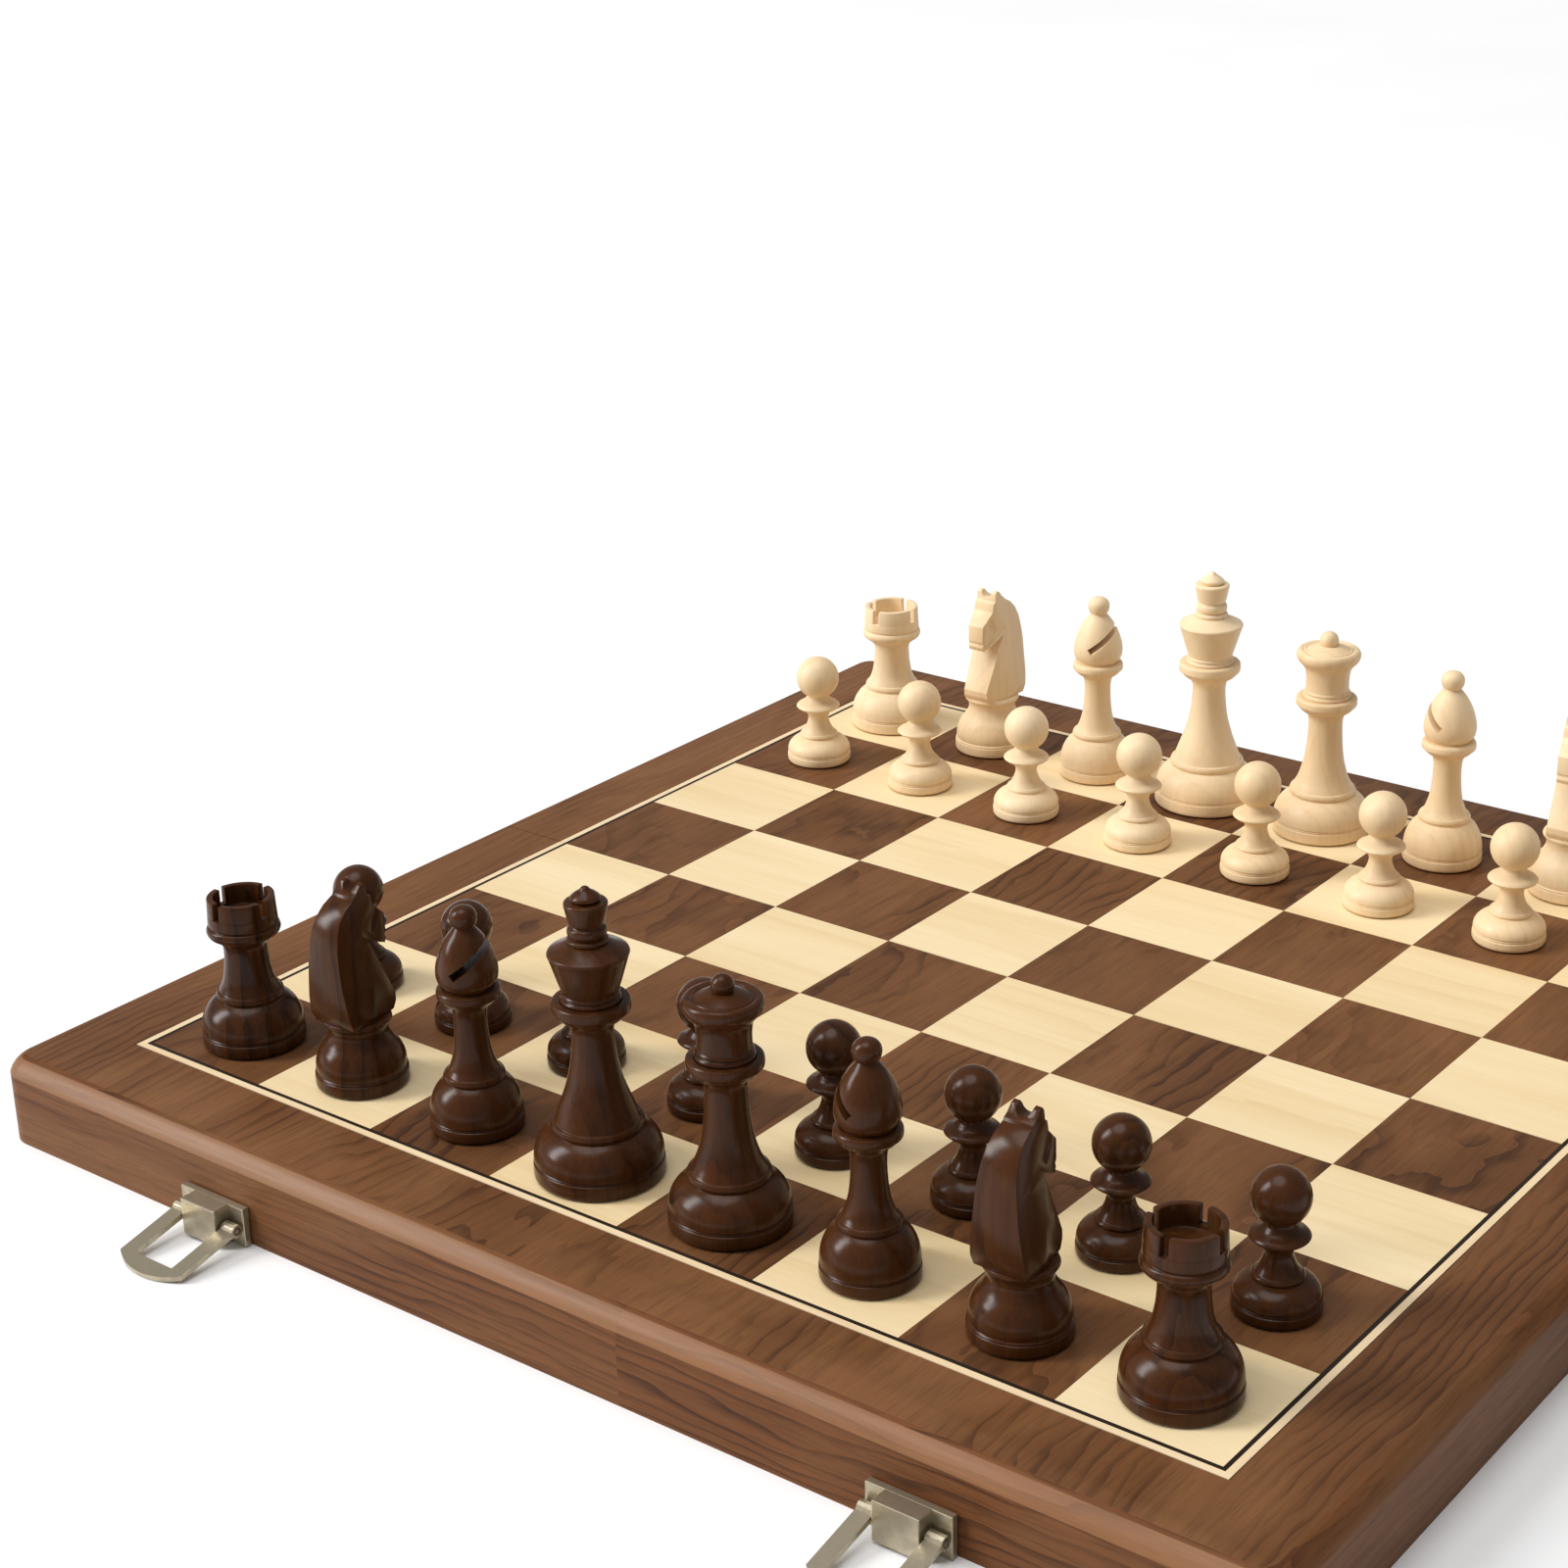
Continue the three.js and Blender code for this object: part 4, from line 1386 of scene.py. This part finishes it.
@dataclass
class Fitting:
    """A small metal part that keeps its node's shape, with its edges eased or left. In millimetres."""

    node: str
    body: str
    slot: str
    round_by: float = 0.0

    def build(self, metal: bpy.types.Material) -> None:
        """Makes the part.

        Args:
            metal: Its finish.
        """
        bm = copied(self.node)
        if self.round_by:
            ease(bm, sharp_edges(bm), self.round_by * MM, 2)
        settle(piece(f"{self.node}_eased", bm, [metal], crease=8), self.body, self.slot, self.node)


@dataclass
class LatchBase:
    """The plate and block of one latch. In millimetres."""

    side: str
    plate_thick: float = 2.0
    block_width: float = 12.0
    block_rise: float = 0.5
    overlap: float = 0.3
    edge: float = 0.22

    def build(self, metal: bpy.types.Material) -> None:
        """Makes both pieces inside the node's box.

        Args:
            metal: Their finish.
        """
        node = f"latch_{self.side}_base"
        low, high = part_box(node)
        middle, half = (low.x + high.x) / 2, self.block_width / 2 * MM
        front = high.y - self.plate_thick * MM
        shapes = {
            "plate": ((low.x, front, low.z), tuple(high)),
            "block": ((middle - half, low.y, low.z + self.block_rise * MM),
                      (middle + half, front + self.overlap * MM, high.z)),
        }
        for name, (near, far) in shapes.items():
            bm = bmesh.new()
            block(bm, near, far)
            ease(bm, sharp_edges(bm), self.edge * MM, 2)
            settle(piece(f"{node}_{name}", bm, [metal], crease=8), "front_half", "latch_metal", node)


def fittings() -> list[tuple[Fitting | LatchBase, SatinMetal]]:
    """Lists the hinges' and latches' parts.

    Returns:
        Each part with its metal.
    """
    listed = []
    for side in ("left", "right"):
        for part, body in (("front_leaf", "front_half"), ("rear_leaf", "rear_half"), ("pin", "front_half")):
            listed.append((Fitting(f"hinge_{side}_{part}", body, "hinge_metal"), BRASS))
        listed.append((LatchBase(side), NICKEL))
        listed.append((Fitting(f"latch_{side}_pin", "front_half", "latch_metal"), NICKEL))
        listed.append((Fitting(f"latch_{side}_bail", f"bail_{side}", "latch_metal"), NICKEL))
        listed.append((Fitting(f"latch_{side}_catch", "rear_half", "latch_metal", 0.1), NICKEL))
    return listed


# ---------------------------------------------------------------- studio


@dataclass
class Studio:
    """The floor, the lights and the camera.

    Angles are in degrees and lengths in metres, but for the lens and its sensor in millimetres.
    """

    place: BoardPlace
    lens: float = 66.45
    sensor: float = 36.0
    azimuth: float = 37.12
    elevation: float = 22.21
    roll: float = -0.94
    distance: float = 0.9051
    aim: tuple[float, float] = (-0.11064, 0.08245)
    shift: tuple[float, float] = (-0.05, 0.0062)
    floor_size: float = 24.0
    panel_distance: float = 12.0
    fill: float = 0.3

    def build(self) -> None:
        """Sets up everything round the object."""
        self._camera()
        self._floor()
        self._world()
        self._softbox("left_light", towards=(-0.68, -0.52, 0.52), size=(3.2, 8.0), power=1290)
        self._sun("top_light", towards=(-0.1, -0.15, 1.0), width=40, power=1.38)

    def _camera(self) -> None:
        """Stands the camera in front, to the right of the latches."""
        a, e, r = (math.radians(angle) for angle in (self.azimuth, self.elevation, self.roll))
        back = Vector((math.sin(a) * math.cos(e), -math.cos(a) * math.cos(e), math.sin(e)))
        right = Vector((math.cos(a), math.sin(a), 0))
        up = back.cross(right)
        turned_right = right * math.cos(r) + up * math.sin(r)
        turned_up = up * math.cos(r) - right * math.sin(r)
        target = Vector((self.place.centre + self.aim[0], self.place.seam + self.aim[1], self.place.top))
        data = bpy.data.cameras.new("camera")
        data.lens = self.lens
        data.sensor_width = self.sensor
        data.shift_x, data.shift_y = self.shift
        data.clip_start, data.clip_end = 0.05, 60
        camera = bpy.data.objects.new("camera", data)
        axes = Matrix((turned_right, turned_up, back)).transposed().to_4x4()
        camera.matrix_world = Matrix.Translation(target + back * self.distance) @ axes
        bpy.context.scene.collection.objects.link(camera)
        bpy.context.scene.camera = camera

    def _floor(self) -> None:
        """Lays the pale floor under the rims of the case."""
        bm = bmesh.new()
        bmesh.ops.create_grid(bm, x_segments=1, y_segments=1, size=self.floor_size / 2,
                              matrix=Matrix.Translation((0, 0, self.place.rim)))
        mix = Recipe("pale_floor")
        cloud = mix.noise(mix.object_space, 3)
        mix.set(Base_Color=mix.blend(mix.spread(cloud, 0.3, 0.7), (0.93, 0.93, 0.93), (0.945, 0.945, 0.945)))
        mix.set(Roughness=mix.spread(cloud, 0.3, 0.7, 0.6, 0.66), Specular_IOR_Level=0.2)
        floor = piece("floor", bm, [mix.material])

    def _world(self) -> None:
        """Surrounds the set with even white light."""
        world = bpy.data.worlds.new("white_room")
        world.use_nodes = True
        tree = world.node_tree
        background = tree.nodes["Background"]
        background.inputs["Color"].default_value = (1, 1, 1, 1)
        seen = tree.nodes.new("ShaderNodeLightPath").outputs["Is Camera Ray"]
        level = tree.nodes.new("ShaderNodeMapRange")
        level.inputs["To Min"].default_value = self.fill
        tree.links.new(seen, level.inputs["Value"])
        tree.links.new(level.outputs["Result"], background.inputs["Strength"])
        bpy.context.scene.world = world
        bpy.context.scene.view_settings.view_transform = "Standard"

    def _softbox(self, name: str, towards: tuple[float, float, float], size: tuple[float, float],
                 power: float) -> None:
        """Adds a tall soft panel light that faces the set.

        Args:
            name: Name of the light.
            towards: Direction from the set to the light.
            size: Width and height of the panel in metres.
            power: Its strength.
        """
        data = bpy.data.lights.new(name, "AREA")
        data.shape = "RECTANGLE"
        data.size, data.size_y = size
        data.energy = power
        lamp = bpy.data.objects.new(name, data)
        way = Vector(towards).normalized()
        lamp.rotation_euler = way.to_track_quat("Z", "Y").to_euler()
        lamp.location = way * self.panel_distance
        bpy.context.scene.collection.objects.link(lamp)

    def _sun(self, name: str, towards: tuple[float, float, float], width: float, power: float) -> None:
        """Adds an even, soft light from one direction.

        Args:
            name: Name of the light.
            towards: Direction from the set to the light.
            width: Its apparent width in degrees, which softens the shadows.
            power: Its strength.
        """
        data = bpy.data.lights.new(name, "SUN")
        data.angle = math.radians(width)
        data.energy = power
        lamp = bpy.data.objects.new(name, data)
        lamp.rotation_euler = Vector(towards).to_track_quat("Z", "Y").to_euler()
        bpy.context.scene.collection.objects.link(lamp)


# ---------------------------------------------------------------- assembly


def build_case(place: BoardPlace) -> None:
    """Makes both halves of the case, their playing fields and the metal parts."""
    veneer = WALNUT.material(Grain.ALONG_Y)
    rails = WALNUT_RAIL.material(Grain.ALONG_X), WALNUT_RAIL.material(Grain.ALONG_Y)
    # The upper edge along X gets the lighter walnut, a painted highlight; along Y it keeps the plain rail.
    edges = WALNUT_HIGHLIGHT_EDGE.material(Grain.ALONG_X), rails[1]
    light = MAPLE.material(Grain.ALONG_X, tiled=True)
    dark = WALNUT.material(Grain.ALONG_Y, tiled=True)
    pale_line = PALE_LINE.material(Grain.ALONG_X), PALE_LINE.material(Grain.ALONG_Y)
    dark_line = DARK_LINE.material(Grain.ALONG_X), DARK_LINE.material(Grain.ALONG_Y)
    flock, core = FLOCK.material(), PLY.material()
    for half in Half:
        Case(half, place).build(veneer, rails, edges, flock)
        PlayingField(half, place).build(light, dark, pale_line, dark_line, core)
    metals = {metal: metal.material() for metal in (NICKEL, BRASS)}
    for fitting, metal in fittings():
        fitting.build(metals[metal])


def build_men() -> None:
    """Makes the chessmen, the spare queens and the piles of draughtsmen."""
    felt = FELT.material()
    shapes = shape_library()
    saw_turns = {"dark_bishop_left": 42.0, "dark_bishop_right": 155.0,
                 "light_bishop_left": 38.0, "light_bishop_right": 155.0}
    for side, timber in ((Side.DARK, STAINED), (Side.LIGHT, BOXWOOD)):
        wood = timber.material(Grain.UPRIGHT)
        slot = f"{side.value}_wood"
        Army(side, slot, shapes, saw_turns).build(wood, felt)
        for number in (1, 2):
            node = f"{side.value}_checker_stack_{number}"
            Draughtsmen(node, f"{node}_pile", slot).build(wood)
    for mesh in shapes.values():
        bpy.data.meshes.remove(mesh)


def main() -> None:
    """Builds the whole set."""
    logging.basicConfig(level=logging.INFO, format="%(message)s")
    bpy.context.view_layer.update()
    place = BoardPlace.read()
    Studio(place).build()
    build_case(place)
    build_men()


if __name__ == "__main__":
    main()
